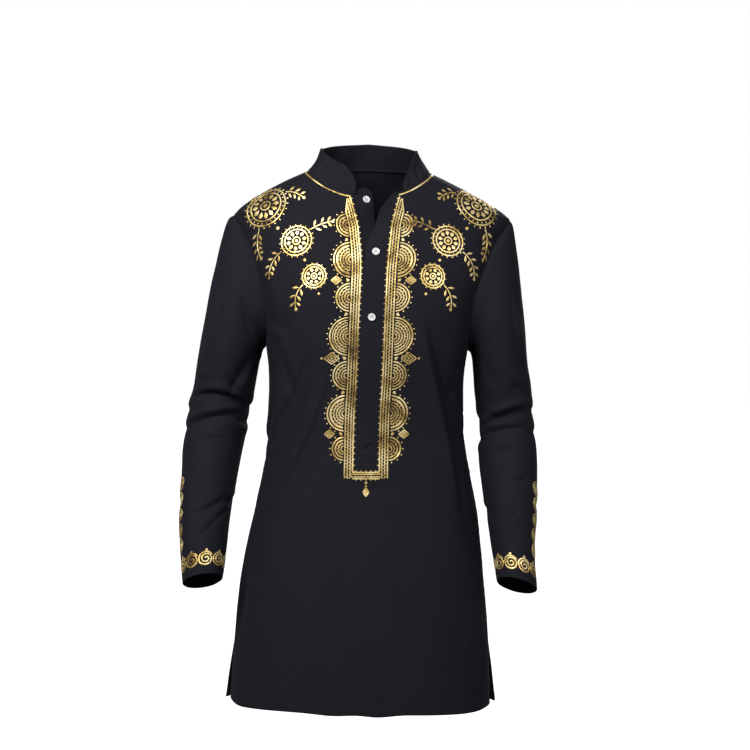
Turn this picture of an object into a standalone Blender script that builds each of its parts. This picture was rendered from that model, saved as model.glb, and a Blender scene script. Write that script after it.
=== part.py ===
"""Long-sleeved dashiki tunic, holding the hollow form that it has when it is worn.

Its cloth pieces are a front with a slit for the placket, a back, two sleeves, a stand collar and
two placket strips, and three buttons are sewn on. Each cloth piece is a thin wall whose outer side
is a grid of points, worked out from section tables. Metres, +Z up, the front towards -Y and +X to
the wearer's left. The origin is the middle of the neck's base, where the wearer carries the tunic.
"""

import math

import bpy
import numpy as np
from mathutils import Vector

# ------------------------------------------------------------------ driving sizes
CLOTH = 0.0016  # wall of one piece of cloth
COLLAR_CLOTH = 0.0022  # the collar is stiffened
SEAM_GAP = 0.0003  # between two pieces where a seam joins them
LAP_GAP = 0.0004  # between a piece and one that lies behind it
BUTTON_GAP = 0.0005

HEM_HEIGHT = -0.896
PLACKET_FOOT = -0.490
UNDERARM_HEIGHT = -0.300
SHOULDER_HEIGHT = -0.077  # where the shoulder seam meets the sleeve
TILT = -0.020  # the whole tunic hangs lower towards the wearer's left, by this much per metre

SLIT_HEIGHT = -0.790  # top of the side slits
SLIT_OPENING = 0.022  # between a side slit's two edges at the hem
SLIT_FLARE = 0.010  # how far the back's corners stand out past the front's

PLACKET_WIDTH = 0.034
PLACKET_BEHIND = 0.006  # how far the buttons' strip runs on behind the front
PLACKET_LEAN = 0.35  # run inwards for each metre up, above the neckline

COLLAR_HEIGHT = 0.046
COLLAR_END_HEIGHT = 0.027  # where its rounded front corners begin
COLLAR_ROUND = 0.030  # length of a rounded corner, along the collar
COLLAR_PAST = 0.004  # how far the collar's button end runs past the placket's slit

BUTTON_RADIUS = 0.0063
BUTTON_THICKNESS = 0.0026
BUTTON_SIDES = 16

# The torso in level sections: half of its width, how far it lies to the wearer's left, how far its
# side seams lie towards the back, its depth before and behind them, and how square it is, where 2
# is an ellipse.
TORSO = [
    # height, half, across, ahead, front, back, square
    (-0.905, 0.2205, -0.0135, 0.000, 0.150, 0.140, 2.3),
    (-0.800, 0.2155, -0.011, 0.000, 0.146, 0.142, 2.3),
    (-0.709, 0.2075, -0.010, 0.000, 0.138, 0.142, 2.3),
    (-0.627, 0.1970, -0.006, 0.000, 0.128, 0.134, 2.3),
    (-0.566, 0.1870, -0.003, 0.000, 0.120, 0.124, 2.3),
    (-0.505, 0.1750, -0.003, 0.000, 0.114, 0.112, 2.3),
    (-0.444, 0.1670, -0.004, 0.001, 0.112, 0.104, 2.3),
    (-0.393, 0.1640, -0.004, 0.002, 0.114, 0.104, 2.4),
    (-0.342, 0.1660, -0.003, 0.003, 0.119, 0.110, 2.5),
    (-0.300, 0.1710, -0.002, 0.004, 0.123, 0.116, 2.7),
    (-0.235, 0.1810, 0.001, 0.006, 0.125, 0.121, 2.9),
    (-0.160, 0.2050, 0.004, 0.008, 0.117, 0.120, 2.5),
    (-0.110, 0.2240, 0.006, 0.010, 0.105, 0.113, 2.1),
    (-0.077, 0.2355, 0.007, 0.011, 0.094, 0.104, 1.9),
    (-0.056, 0.2120, 0.005, 0.011, 0.086, 0.096, 1.9),
    (-0.036, 0.1785, 0.003, 0.011, 0.079, 0.087, 2.0),
    (-0.015, 0.1375, 0.002, 0.010, 0.073, 0.078, 2.1),
    (0.000, 0.1045, 0.002, 0.009, 0.068, 0.071, 2.2),
    (0.014, 0.0800, 0.002, 0.008, 0.062, 0.065, 2.2),
]

# The neckline, from the middle out to the shoulder seam.
NECK_FRONT = [
    # out, height
    (0.0000, -0.0470),
    (0.0360, -0.0430),
    (0.0590, -0.0360),
    (0.0820, -0.0230),
    (0.1000, -0.0070),
    (0.1045, 0.0000),
]
NECK_BACK = [
    # out, height
    (0.0000, 0.0100),
    (0.0500, 0.0080),
    (0.0850, 0.0040),
    (0.1045, 0.0000),
]

# The placket's slit in the front leans a little, and it gapes above the second button. There the
# two strips turn in from the edges that they are sewn to.
PLACKET = [
    # height, middle of the slit, its width, turn of the buttons' strip, turn of the holes' strip
    (-0.500, -0.0030, 0.0340, 0, 0),
    (-0.420, -0.0012, 0.0340, 0, 0),
    (-0.350, 0.0028, 0.0340, 0, 0),
    (-0.250, 0.0069, 0.0340, 0, 0),
    (-0.178, 0.0102, 0.0340, 0, 0),
    (-0.140, 0.0116, 0.0385, 8, 0),
    (-0.115, 0.0117, 0.0436, 25, 3),
    (-0.100, 0.0117, 0.0468, 36, 10),
    (-0.086, 0.0116, 0.0530, 38, 30),
    (-0.072, 0.0116, 0.0600, 31, 48),
    (-0.060, 0.0115, 0.0662, 22, 60),
    (-0.046, 0.0115, 0.0730, 20, 75),
    (-0.036, 0.0115, 0.0730, 19, 100),
]
BUTTON_STRIP = [
    # share of the strip's width from its seam, height of its last row but one, height of its top
    (-0.18, -0.0500, -0.0480),
    (0.02, -0.0490, -0.0460),
    (0.34, -0.0440, -0.0350),
    (0.67, -0.0440, -0.0320),
    (1.00, -0.0440, -0.0310),
]
HOLE_STRIP = [
    # share of the strip's width from its seam, height of its last row but one, height of its top
    (0.00, -0.0440, -0.0360),
    (0.34, -0.0440, -0.0340),
    (0.67, -0.0440, -0.0330),
    (1.00, -0.0440, -0.0330),
]

# How far the collar leans in, round the neck from the middle of the front.
COLLAR_LEAN = [
    # turn, lean
    (0, 6),
    (25, 8),
    (60, 24),
    (90, 31),
    (130, 24),
    (180, 16),
]

# The armhole is an egg when it is seen from the side, wider low down.
ARMHOLE_FRONT = 0.064
ARMHOLE_BACK = 0.062
ARMHOLE_EGG = 0.30

# Sleeve sections from the armhole to the cuff: the outermost and the innermost point, how far the
# middle lies towards the back, half of the depth, and how far the section's front tips up.
SLEEVE_OF_RIGHT_ARM = [
    # out_x, out_z, in_x, in_z, ahead, half_depth, tip
    (-0.2285, -0.0770, -0.1730, -0.3000, 0.008, 0.064, 0),
    (-0.2390, -0.0860, -0.1775, -0.3025, 0.009, 0.067, 0),
    (-0.2490, -0.1150, -0.1795, -0.3060, 0.010, 0.070, 0),
    (-0.2593, -0.1575, -0.1805, -0.3093, 0.010, 0.073, 0),
    (-0.2696, -0.2035, -0.1815, -0.3144, 0.011, 0.075, 0),
    (-0.2799, -0.2598, -0.1840, -0.3212, 0.012, 0.075, 0),
    (-0.2894, -0.3144, -0.1887, -0.3451, 0.014, 0.073, 0),
    (-0.2973, -0.3622, -0.1948, -0.3741, 0.017, 0.070, 2),
    (-0.3077, -0.4032, -0.2017, -0.4015, 0.019, 0.066, 7),
    (-0.3121, -0.4440, -0.2081, -0.4406, 0.012, 0.064, 14),
    (-0.3160, -0.4844, -0.2158, -0.4827, -0.001, 0.062, 20),
    (-0.3158, -0.5309, -0.2237, -0.5309, -0.020, 0.057, 22),
    (-0.3153, -0.5799, -0.2315, -0.5816, -0.040, 0.052, 22),
    (-0.3115, -0.6283, -0.2357, -0.6283, -0.060, 0.047, 22),
    (-0.3085, -0.6619, -0.2380, -0.6569, -0.073, 0.044, 22),
    (-0.3056, -0.6903, -0.2403, -0.6788, -0.085, 0.041, 22),
]
SLEEVE_OF_LEFT_ARM = [
    # out_x, out_z, in_x, in_z, ahead, half_depth, tip
    (0.2425, -0.0820, 0.1690, -0.3030, 0.008, 0.064, 0),
    (0.2470, -0.0920, 0.1735, -0.3055, 0.009, 0.067, 0),
    (0.2510, -0.1180, 0.1750, -0.3080, 0.010, 0.070, 0),
    (0.2560, -0.1585, 0.1758, -0.3105, 0.010, 0.073, 0),
    (0.2605, -0.2035, 0.1766, -0.3140, 0.011, 0.075, 0),
    (0.2663, -0.2598, 0.1778, -0.3200, 0.012, 0.075, 0),
    (0.2715, -0.3212, 0.1795, -0.3400, 0.014, 0.073, 0),
    (0.2785, -0.3622, 0.1815, -0.3707, 0.017, 0.070, 2),
    (0.2821, -0.4032, 0.1864, -0.4032, 0.019, 0.066, 7),
    (0.2848, -0.4440, 0.1902, -0.4389, 0.012, 0.064, 14),
    (0.2871, -0.4844, 0.1890, -0.4844, -0.001, 0.062, 20),
    (0.2854, -0.5309, 0.1925, -0.5309, -0.020, 0.057, 22),
    (0.2835, -0.5799, 0.1996, -0.5816, -0.040, 0.052, 22),
    (0.2782, -0.6283, 0.2051, -0.6283, -0.060, 0.047, 22),
    (0.2775, -0.6652, 0.2106, -0.6619, -0.073, 0.044, 22),
    (0.2792, -0.7002, 0.2131, -0.6837, -0.085, 0.041, 22),
]
CAP_SECTIONS = 6  # sections over which a sleeve leaves the armhole's own outline

# The largest folds: a soft ridge, or a trough where the rise is below zero, along a line.
FOLDS = [
    # side, from_x, from_z, to_x, to_z, half_width, rise
    ("front", -0.070, -0.340, -0.190, -0.590, 0.026, 0.0045),
    ("front", -0.110, -0.330, -0.215, -0.500, 0.022, -0.0040),
    ("front", 0.105, -0.300, 0.140, -0.560, 0.026, -0.0060),
    ("front", 0.075, -0.320, 0.110, -0.600, 0.024, 0.0040),
    ("back", -0.080, -0.330, -0.170, -0.560, 0.026, 0.0045),
    ("back", 0.085, -0.320, 0.165, -0.580, 0.026, 0.0045),
    ("back", -0.060, -0.420, 0.070, -0.440, 0.026, -0.0050),
    ("front", -0.212, -0.425, -0.305, -0.400, 0.022, -0.0055),
    ("front", 0.190, -0.435, 0.278, -0.410, 0.022, -0.0055),
    ("back", -0.215, -0.410, -0.300, -0.440, 0.022, -0.0040),
    ("back", 0.190, -0.415, 0.275, -0.445, 0.022, -0.0040),
]

# Cells of the grids.
SKIRT_ROWS = 9  # from the hem to the placket's foot
WAIST_ROWS = 5  # from there to the underarm
ARM_ROWS = 10  # along the armhole
YOKE_ROWS = 3  # from the shoulder up to the neckline
YOKE_EASE = 1.3  # above 1, a column turns towards its place at the neckline mostly near the top
SIDE_COLUMNS = 7  # of the front, from a side to the slit
BACK_COLUMNS = 18
SLEEVE_RINGS = 22
COLLAR_ROWS = 3


# ------------------------------------------------------------------ reading the tables
def smooth(table, at):
    """The table's row at the key `at`, by cubics that never run past the rows' own values."""
    rows = np.array(table, float)
    keys, values = rows[:, 0], rows[:, 1:]
    steps = np.diff(keys)[:, None]
    slopes = np.diff(values, axis=0) / steps
    tangents = np.zeros_like(values)
    product, total = slopes[:-1] * slopes[1:], slopes[:-1] + slopes[1:]
    np.divide(2 * product, total, out=tangents[1:-1], where=product > 0)
    tangents[0], tangents[-1] = slopes[0], slopes[-1]
    i = int(np.clip(np.searchsorted(keys, at) - 1, 0, len(keys) - 2))
    step = steps[i, 0]
    t = (np.clip(at, keys[0], keys[-1]) - keys[i]) / step
    start = values[i] * (1 + 2 * t) * (1 - t) ** 2 + tangents[i] * step * t * (1 - t) ** 2
    end = values[i + 1] * t * t * (3 - 2 * t) + tangents[i + 1] * step * t * t * (t - 1)
    return start + end


def lerp(a, b, t):
    return a + (b - a) * t


def unit(vector):
    return vector / np.linalg.norm(vector, axis=-1, keepdims=True)


# ------------------------------------------------------------------ the torso and its edges
def torso(height, turn):
    """A point of the torso: turn is 0 at the middle of the front and a quarter turn at a side."""
    half, across, ahead, front, back, square = smooth(TORSO, height)
    sine, cosine = math.sin(turn), math.cos(turn)
    reach = (abs(sine) ** square + abs(cosine) ** square) ** (-1 / square)
    x = across + half * reach * sine
    return np.array([x, ahead - (front if cosine > 0 else back) * reach * cosine, height + TILT * x])


def turn_at_x(height, x, back=False):
    """The turn at which the section of this height has that x."""
    half, across, _, _, _, square = smooth(TORSO, height)
    side = float(np.clip((x - across) / half, -1, 1))
    forward = (1 - abs(side) ** square) ** (1 / square)
    if back:
        return math.atan2(side, -forward) % (2 * math.pi)
    return math.atan2(side, forward)


def armhole_height(share):
    """Height down the armhole, from 0 at the shoulder seam by 1 at the underarm to 2 again."""
    middle, half = (SHOULDER_HEIGHT + UNDERARM_HEIGHT) / 2, (SHOULDER_HEIGHT - UNDERARM_HEIGHT) / 2
    return middle + half * math.cos(math.pi * share)


def slit_share(height):
    """0 at the top of the side slits and above it, 1 at the hem."""
    return max(0.0, (SLIT_HEIGHT - height) / (SLIT_HEIGHT - HEM_HEIGHT))


def edge_turn(height, back):
    """The turn of a panel's edge at the wearer's left: at its side slit, side seam or armhole."""
    _, _, _, front_depth, back_depth, square = smooth(TORSO, height)
    if height < UNDERARM_HEIGHT:
        opening = SLIT_OPENING * slit_share(height)
        return math.pi / 2 + (0.3 * opening / back_depth if back else -0.7 * opening / front_depth)
    level = 2 * (height - UNDERARM_HEIGHT) / (SHOULDER_HEIGHT - UNDERARM_HEIGHT) - 1
    reach = math.sqrt(max(0.0, 1 - level**2)) * (1 - ARMHOLE_EGG * level)
    forward = -ARMHOLE_BACK * reach / back_depth if back else ARMHOLE_FRONT * reach / front_depth
    return math.atan2((1 - abs(forward) ** square) ** (1 / square), forward)


def slit_edges(height):
    """The x of the two edges of the placket's slit."""
    middle, width = smooth(PLACKET, height)[:2]
    return middle - width / 2, middle + width / 2


def neckline(x, back=False):
    """The height of the neckline at that x."""
    across = smooth(TORSO, 0.0)[1]
    return float(smooth(NECK_BACK if back else NECK_FRONT, abs(x - across))[0])


def fold_rise(point, out):
    """How far the folds lift a point of the cloth that faces the way `out`."""
    rise = 0.0
    for side, from_x, from_z, to_x, to_z, half_width, height in FOLDS:
        facing = float(np.clip(1.6 * (-out[1] if side == "front" else out[1]) - 0.2, 0, 1))
        line = np.array([to_x - from_x, to_z - from_z])
        reach = point[[0, 2]] - (from_x, from_z)
        share = float(np.clip(reach @ line / (line @ line), 0, 1))
        away = np.linalg.norm(reach - share * line)
        rise += height * facing * math.exp(-((away / half_width) ** 2))
    return rise


# ------------------------------------------------------------------ panels
def row_heights():
    """Heights of a panel's rows of points, from the hem to the shoulder's level."""
    skirt = np.linspace(HEM_HEIGHT, PLACKET_FOOT, SKIRT_ROWS + 1)
    waist = np.linspace(PLACKET_FOOT, UNDERARM_HEIGHT, WAIST_ROWS + 1)
    arm = [armhole_height(share) for share in np.linspace(1, 0, ARM_ROWS + 1)]
    return [*skirt[:-1], *waist[:-1], *arm]


def front_turns(height, edge):
    """The turns of one row of the front: from a side to the slit, across it, and to the other."""
    left, right = (turn_at_x(height, x) for x in slit_edges(height))
    outer = np.linspace(0, 1, SIDE_COLUMNS + 1)
    return [*lerp(-edge, left, outer), (left + right) / 2, *lerp(right, edge, outer)]


def yoke_rows(shoulder_turns, neck_x, back=False):
    """Rows from the shoulder's level up to the neckline. Their ends run along the shoulder seams."""
    neck_heights = np.array([neckline(x, back) for x in neck_x])
    neck_turns = np.array([turn_at_x(h, x, back) for h, x in zip(neck_heights, neck_x)])
    rows = []
    for share in np.linspace(0, 1, YOKE_ROWS + 1)[1:]:
        heights = lerp(SHOULDER_HEIGHT, neck_heights, share)
        turns = lerp(np.array(shoulder_turns), neck_turns, share**YOKE_EASE)
        rows.append([torso(height, turn) for height, turn in zip(heights, turns)])
    return rows


def front_grid():
    """Outer points of the front, [row, column]: up from the hem, and towards the wearer's left."""
    rows = []
    for height in row_heights():
        turns = front_turns(height, edge_turn(height, back=False))
        rows.append([torso(height, turn) for turn in turns])
    across, out = smooth(TORSO, 0.0)[1], NECK_FRONT[-1][0]
    left, right = slit_edges(NECK_FRONT[0][1])
    spread = np.sin(np.linspace(0, math.pi / 2, SIDE_COLUMNS + 1))
    to_right_arm, to_left_arm = lerp(left, across - out, spread), lerp(right, across + out, spread)
    neck_x = [*to_right_arm[::-1], (left + right) / 2, *to_left_arm]
    return np.array(rows + yoke_rows(turns, neck_x))


def back_grid():
    """Outer points of the back, [row, column]: up from the hem, and towards the wearer's right."""
    rows = []
    to_edge = np.abs(np.linspace(-1, 1, BACK_COLUMNS + 1)) ** 6
    for height in row_heights():
        edge = edge_turn(height, back=True)
        turns = np.linspace(edge, 2 * math.pi - edge, BACK_COLUMNS + 1)
        row = np.array([torso(height, turn) for turn in turns])
        row[:, 0] += SLIT_FLARE * slit_share(height) * to_edge * np.sin(turns)
        rows.append(row)
    across, out = smooth(TORSO, 0.0)[1], NECK_BACK[-1][0]
    neck_x = across + out * np.cos(np.linspace(0, math.pi, BACK_COLUMNS + 1))
    return np.array(rows + yoke_rows(turns, neck_x, back=True))


def armhole_points(left):
    """Points round an armhole, down its front from the shoulder seam and up its back."""
    points = []
    for n in range(2 * ARM_ROWS):
        height = armhole_height(n / ARM_ROWS)
        turn = edge_turn(height, back=n > ARM_ROWS)
        points.append(torso(height, turn if left else -turn))
    return np.array(points)


def sleeve_section(row):
    """Points round one section of a sleeve, from its outermost point by way of its front."""
    out_x, out_z, in_x, in_z, ahead, half_depth, tip = row
    middle = np.array([(out_x + in_x) / 2, ahead, (out_z + in_z) / 2])
    outer_half = np.array([(out_x - in_x) / 2, 0, (out_z - in_z) / 2])
    tipped = math.radians(tip)
    front_half = half_depth * np.array([0, -math.cos(tipped), math.sin(tipped)])
    angles = np.linspace(0, 2 * math.pi, 2 * ARM_ROWS, endpoint=False)[:, None]
    return middle + outer_half * np.cos(angles) + front_half * np.sin(angles)


def sleeve_grid(table, left):
    """Outer points of a sleeve, [ring, point round it], from the armhole down to the cuff."""
    keyed = [(key, *row) for key, row in enumerate(table)]
    to_armhole = armhole_points(left) - sleeve_section(table[0])
    rings = []
    for at in np.linspace(0, len(table) - 1, SLEEVE_RINGS + 1):
        stay = max(0.0, 1 - at / CAP_SECTIONS) ** 2
        rings.append(sleeve_section(smooth(keyed, at)) + stay * to_armhole)
    return np.array(rings) if left else np.array(rings)[:, ::-1]


def collar_grid(front, back):
    """Outer points of the collar, [row, column], round the neck from its end at the buttonholes."""
    hole_end = SIDE_COLUMNS + 3
    past = slit_edges(NECK_FRONT[0][1])[0] + COLLAR_PAST
    button_end = torso(neckline(past), turn_at_x(neckline(past), past))
    base = np.array([*front[-1][hole_end:], *back[-1][1:-1], *front[-1][: SIDE_COLUMNS + 1], button_end])
    run = np.concatenate([[0], np.cumsum(np.linalg.norm(np.diff(base, axis=0), axis=1))])
    to_end = np.minimum(run, run[-1] - run)
    corner = np.sin(np.minimum(1, to_end / COLLAR_ROUND) * math.pi / 2)
    heights = lerp(COLLAR_END_HEIGHT, COLLAR_HEIGHT, corner)
    _, across, ahead = smooth(TORSO, 0.0)[:3]
    inward = unit(np.array([across, ahead]) - base[:, :2])
    turns = np.degrees(np.arctan2(np.abs(inward[:, 0]), inward[:, 1]))
    leans = np.radians([smooth(COLLAR_LEAN, turn)[0] for turn in turns])
    up = np.column_stack([inward * np.sin(leans)[:, None], np.cos(leans)])
    shares = np.linspace(0, 1, COLLAR_ROWS + 1)
    return np.array([base + up * (heights * share)[:, None] for share in shares])


def slit_point(edge, height):
    """A point of the slit's edge, which leans inwards above the neckline."""
    x, y = (np.interp(height, edge[:, 2], edge[:, axis]) for axis in (0, 1))
    return np.array([x, y + PLACKET_LEAN * max(0.0, height - edge[-1, 2]), height])


def strip_grid(front, buttons):
    """Outer points of a placket strip, [row, column], towards the wearer's left. Its rows are the
    front's own, but for two at the top. The buttons' strip lies behind the one with their holes,
    which is flush with the front."""
    edges = front[SKIRT_ROWS:, SIDE_COLUMNS], front[SKIRT_ROWS:, SIDE_COLUMNS + 2]
    own, other = edges if buttons else edges[::-1]
    width = PLACKET_WIDTH - 2 * SEAM_GAP
    inward = np.array([0, 1, 0])
    columns = []
    for share, last, top in BUTTON_STRIP if buttons else HOLE_STRIP[::-1]:
        heights = lerp(own[:-1, 2], other[:-1, 2], share)
        heights[0] += SEAM_GAP
        column = []
        for height in [*heights, last, top]:
            seam = slit_point(own, height)
            sideways = unit(slit_point(other, height) - seam)
            button_turn, hole_turn = np.radians(smooth(PLACKET, height)[2:])
            if not buttons:
                turn = hole_turn
                start = seam + sideways * (SEAM_GAP + 1.4 * CLOTH * math.sin(turn))
            else:
                turn = button_turn if share > 0 else 0
                start = seam + inward * (CLOTH + LAP_GAP)
            if share < 0:
                sideways = unit(seam - slit_point(front[SKIRT_ROWS:, SIDE_COLUMNS - 1], height))
            column.append(start + width * share * (sideways * math.cos(turn) + inward * math.sin(turn)))
        columns.append(column)
    return np.array(columns).transpose(1, 0, 2)


# ------------------------------------------------------------------ from grids to walls
def outward(grid, wrap=False):
    """The outward direction at each point of a grid."""
    if wrap:
        beside = np.roll(grid, -1, axis=1) - np.roll(grid, 1, axis=1)
    else:
        beside = np.gradient(grid, axis=1)
    return unit(np.cross(beside, np.gradient(grid, axis=0)))


def share_directions(grids, directions):
    """Gives sewn pieces one direction in common where they meet, so that rim lies along rim."""
    own = {name: direction.copy() for name, direction in directions.items()}
    places = [(name, index) for name, grid in grids.items() for index in np.ndindex(grid.shape[:2])]
    points = np.array([grids[name][index] for name, index in places])
    for (name, index), point in zip(places, points):
        met = [places[n] for n in np.flatnonzero(np.linalg.norm(points - point, axis=1) < 1e-6)]
        panels = sum(own[other][at] for other, at in met if other in ("front", "back"))
        others = sum(own[other][at] for other, at in met if other not in ("front", "back"))
        directions[name][index] = unit(unit(panels) + others if np.any(panels) else others)


def seam_room(grid, wrap):
    """The grid with its edges moved in along the cloth, each by half of the gap at a seam."""
    moved = grid.copy()
    moved[0] += SEAM_GAP / 2 * unit(grid[1] - grid[0])
    moved[-1] += SEAM_GAP / 2 * unit(grid[-2] - grid[-1])
    if not wrap:
        moved[:, 0] += SEAM_GAP / 2 * unit(grid[:, 1] - grid[:, 0])
        moved[:, -1] += SEAM_GAP / 2 * unit(grid[:, -2] - grid[:, -1])
    return moved


def wall_cells(rows, columns, wrap, slit):
    """The grid's cells as loops of point numbers, without those that the placket's slit takes."""
    cells = []
    for i in range(rows - 1):
        for j in range(columns if wrap else columns - 1):
            if slit and i >= SKIRT_ROWS and j in (SIDE_COLUMNS, SIDE_COLUMNS + 1):
                continue
            low, high, beside = i * columns, (i + 1) * columns, (j + 1) % columns
            cells.append([low + j, low + beside, high + beside, high + j])
    return cells


def add_wall(name, outer, out, thickness, material, wrap=False, slit=False):
    """A closed wall: the cells outside, the same cells inside, and a rim along every edge."""
    rows, columns = outer.shape[:2]
    points = np.concatenate([outer.reshape(-1, 3), (outer - out * thickness).reshape(-1, 3)])
    inside = rows * columns
    cells = wall_cells(rows, columns, wrap, slit)
    sides = {(cell[n], cell[(n + 1) % 4]) for cell in cells for n in range(4)}
    rim = sorted((a, b) for a, b in sides if (b, a) not in sides)
    faces = cells + [[v + inside for v in reversed(cell)] for cell in cells]
    for a, b in rim:  # both pieces of a seam split their rims alike, by the lower of two points
        if points[a][2] < points[b][2]:
            faces += [[b, a, b + inside], [a, a + inside, b + inside]]
        else:
            faces += [[b, a, a + inside], [b, a + inside, b + inside]]
    number = {v: n for n, v in enumerate(sorted({v for face in faces for v in face}))}
    mesh = bpy.data.meshes.new(name)
    mesh.from_pydata([tuple(points[v]) for v in number], [], [[number[v] for v in f] for f in faces])
    mesh.materials.append(material)
    mesh.shade_smooth()
    mesh.set_sharp_from_angle(angle=math.radians(50))
    bpy.context.scene.collection.objects.link(bpy.data.objects.new(name, mesh))


def add_button(name, strip, height, column, material):
    """A round button with a raised rim, flat on a strip at a height and at a column of its grid."""
    beside = int(column)
    points, out = (lerp(g[:, beside], g[:, beside + 1], column - beside) for g in (strip, outward(strip)))
    place = np.array([np.interp(height, points[:, 2], points[:, axis]) for axis in range(3)])
    facing = unit(np.array([np.interp(height, points[:, 2], out[:, axis]) for axis in range(3)]))
    profile = [(0.90, 0.0), (1.0, 0.4), (0.94, 1.0), (0.78, 1.0), (0.66, 0.72)]  # radius, rise
    vertices = []
    for radius, rise in profile:
        for angle in np.linspace(0, 2 * math.pi, BUTTON_SIDES, endpoint=False):
            x, y = BUTTON_RADIUS * radius * math.cos(angle), BUTTON_RADIUS * radius * math.sin(angle)
            vertices.append((x, y, BUTTON_THICKNESS * rise))
    sides = range(BUTTON_SIDES)
    last = (len(profile) - 1) * BUTTON_SIDES
    faces = [list(reversed(sides)), [last + n for n in sides]]
    for ring in range(0, last, BUTTON_SIDES):
        for n in sides:
            a, b = ring + n, ring + (n + 1) % BUTTON_SIDES
            faces.append([a, b, b + BUTTON_SIDES, a + BUTTON_SIDES])
    mesh = bpy.data.meshes.new(name)
    mesh.from_pydata(vertices, [], faces)
    mesh.materials.append(material)
    button = bpy.data.objects.new(name, mesh)
    button.location = Vector(place + facing * BUTTON_GAP)
    button.rotation_mode = "QUATERNION"
    button.rotation_quaternion = Vector(facing).to_track_quat("Z", "Y")
    bpy.context.scene.collection.objects.link(button)


# ------------------------------------------------------------------ materials
def new_material(name, colour, roughness):
    material = bpy.data.materials.new(name)
    material.use_nodes = True
    shader = material.node_tree.nodes["Principled BSDF"]
    shader.inputs["Base Color"].default_value = (*colour, 1)
    shader.inputs["Roughness"].default_value = roughness
    shader.inputs["Metallic"].default_value = 0.0
    return material


# ------------------------------------------------------------------ the tunic
def main():
    for old in list(bpy.data.objects):
        bpy.data.objects.remove(old)
    black = new_material("black_cloth", (0.016, 0.016, 0.020), 0.62)
    pearl = new_material("white_pearl", (0.86, 0.86, 0.84), 0.28)

    sewn = {
        "front": front_grid(),
        "back": back_grid(),
        "sleeve_right": sleeve_grid(SLEEVE_OF_RIGHT_ARM, left=False),
        "sleeve_left": sleeve_grid(SLEEVE_OF_LEFT_ARM, left=True),
    }
    tubes = ("sleeve_right", "sleeve_left")
    out = {name: outward(grid, name in tubes) for name, grid in sewn.items()}
    share_directions(sewn, out)
    for name, grid in sewn.items():
        rises = [fold_rise(grid[index], out[name][index]) for index in np.ndindex(grid.shape[:2])]
        grid += out[name] * np.array(rises).reshape(*grid.shape[:2], 1)

    sewn["collar"] = collar_grid(sewn["front"], sewn["back"])
    out = {name: outward(grid, name in tubes) for name, grid in sewn.items()}
    share_directions(sewn, out)
    for name, grid in sewn.items():
        thickness = COLLAR_CLOTH if name == "collar" else CLOTH
        wrap = name in tubes
        add_wall(name, seam_room(grid, wrap), out[name], thickness, black, wrap, slit=name == "front")

    button_strip = strip_grid(sewn["front"], buttons=True)
    hole_strip = strip_grid(sewn["front"], buttons=False)
    add_wall("placket_under", button_strip, outward(button_strip), CLOTH, black)
    add_wall("placket_over", hole_strip, outward(hole_strip), CLOTH, black)
    add_button("button_1", button_strip, -0.0536, 2.9, pearl)
    add_button("button_2", hole_strip, -0.1428, 1.5, pearl)
    add_button("button_3", hole_strip, -0.2506, 1.5, pearl)


main()
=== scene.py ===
import math

import bmesh
import bpy
import numpy as np
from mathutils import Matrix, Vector, noise
from mathutils.bvhtree import BVHTree


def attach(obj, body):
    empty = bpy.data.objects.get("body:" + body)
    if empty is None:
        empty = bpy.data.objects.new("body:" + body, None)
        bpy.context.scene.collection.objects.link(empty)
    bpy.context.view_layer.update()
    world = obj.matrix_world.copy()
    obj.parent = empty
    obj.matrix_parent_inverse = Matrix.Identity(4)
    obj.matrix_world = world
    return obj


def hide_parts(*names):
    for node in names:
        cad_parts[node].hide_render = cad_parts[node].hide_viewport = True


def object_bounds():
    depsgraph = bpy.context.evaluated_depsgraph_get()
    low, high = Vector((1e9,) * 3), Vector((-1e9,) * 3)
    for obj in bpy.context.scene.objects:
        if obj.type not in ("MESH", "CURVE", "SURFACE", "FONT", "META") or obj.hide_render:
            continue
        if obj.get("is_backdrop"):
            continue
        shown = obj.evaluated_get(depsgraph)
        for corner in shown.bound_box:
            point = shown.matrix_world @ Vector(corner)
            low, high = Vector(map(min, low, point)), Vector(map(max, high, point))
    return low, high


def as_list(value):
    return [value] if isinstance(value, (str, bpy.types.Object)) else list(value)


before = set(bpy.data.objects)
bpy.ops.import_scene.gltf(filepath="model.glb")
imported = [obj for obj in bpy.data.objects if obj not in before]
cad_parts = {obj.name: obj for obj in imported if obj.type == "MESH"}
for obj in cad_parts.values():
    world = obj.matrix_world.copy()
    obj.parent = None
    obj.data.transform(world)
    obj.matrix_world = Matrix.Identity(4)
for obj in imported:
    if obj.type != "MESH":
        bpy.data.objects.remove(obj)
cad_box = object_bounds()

# ------------------------------------------------------------------ camera, floor and light
# The tunic is carried in the air, as high as a standing wearer's shoulders carry it, over a wide pale
# floor. The light is a bright even surround, a broad soft lamp before it, and two weaker ones.
EYE = (0.0119, -3.0, -0.3451)
LENS, SENSOR = 84.7, 36.0  # millimetres
SIGHT = 200.0
FLOOR_HEIGHT = -1.48
FLOOR_REACH = 60.0
FLOOR_GLOW = 1.0
SURROUND = 0.20  # how brightly the surround lights the tunic; it is seen white
LIT = (0, 0, -0.4)  # the place that the lamps face
LAMPS = [
    # name, place, side of the lamp, power
    ("lamp_before", (-1.15, -1.80, 1.10), 1.0, 67.0),
    ("lamp_beside", (1.5, -2.1, 0.8), 1.0, 27.0),
    ("lamp_behind", (0.7, 2.4, 1.2), 1.2, 32.0),
]


def add_object(name, data):
    made = bpy.data.objects.new(name, data)
    bpy.context.scene.collection.objects.link(made)
    return made


def add_mesh(name, vertices, faces, material):
    mesh = bpy.data.meshes.new(name)
    mesh.from_pydata([tuple(v) for v in vertices], [], faces)
    mesh.materials.append(material)
    return add_object(name, mesh)


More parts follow.
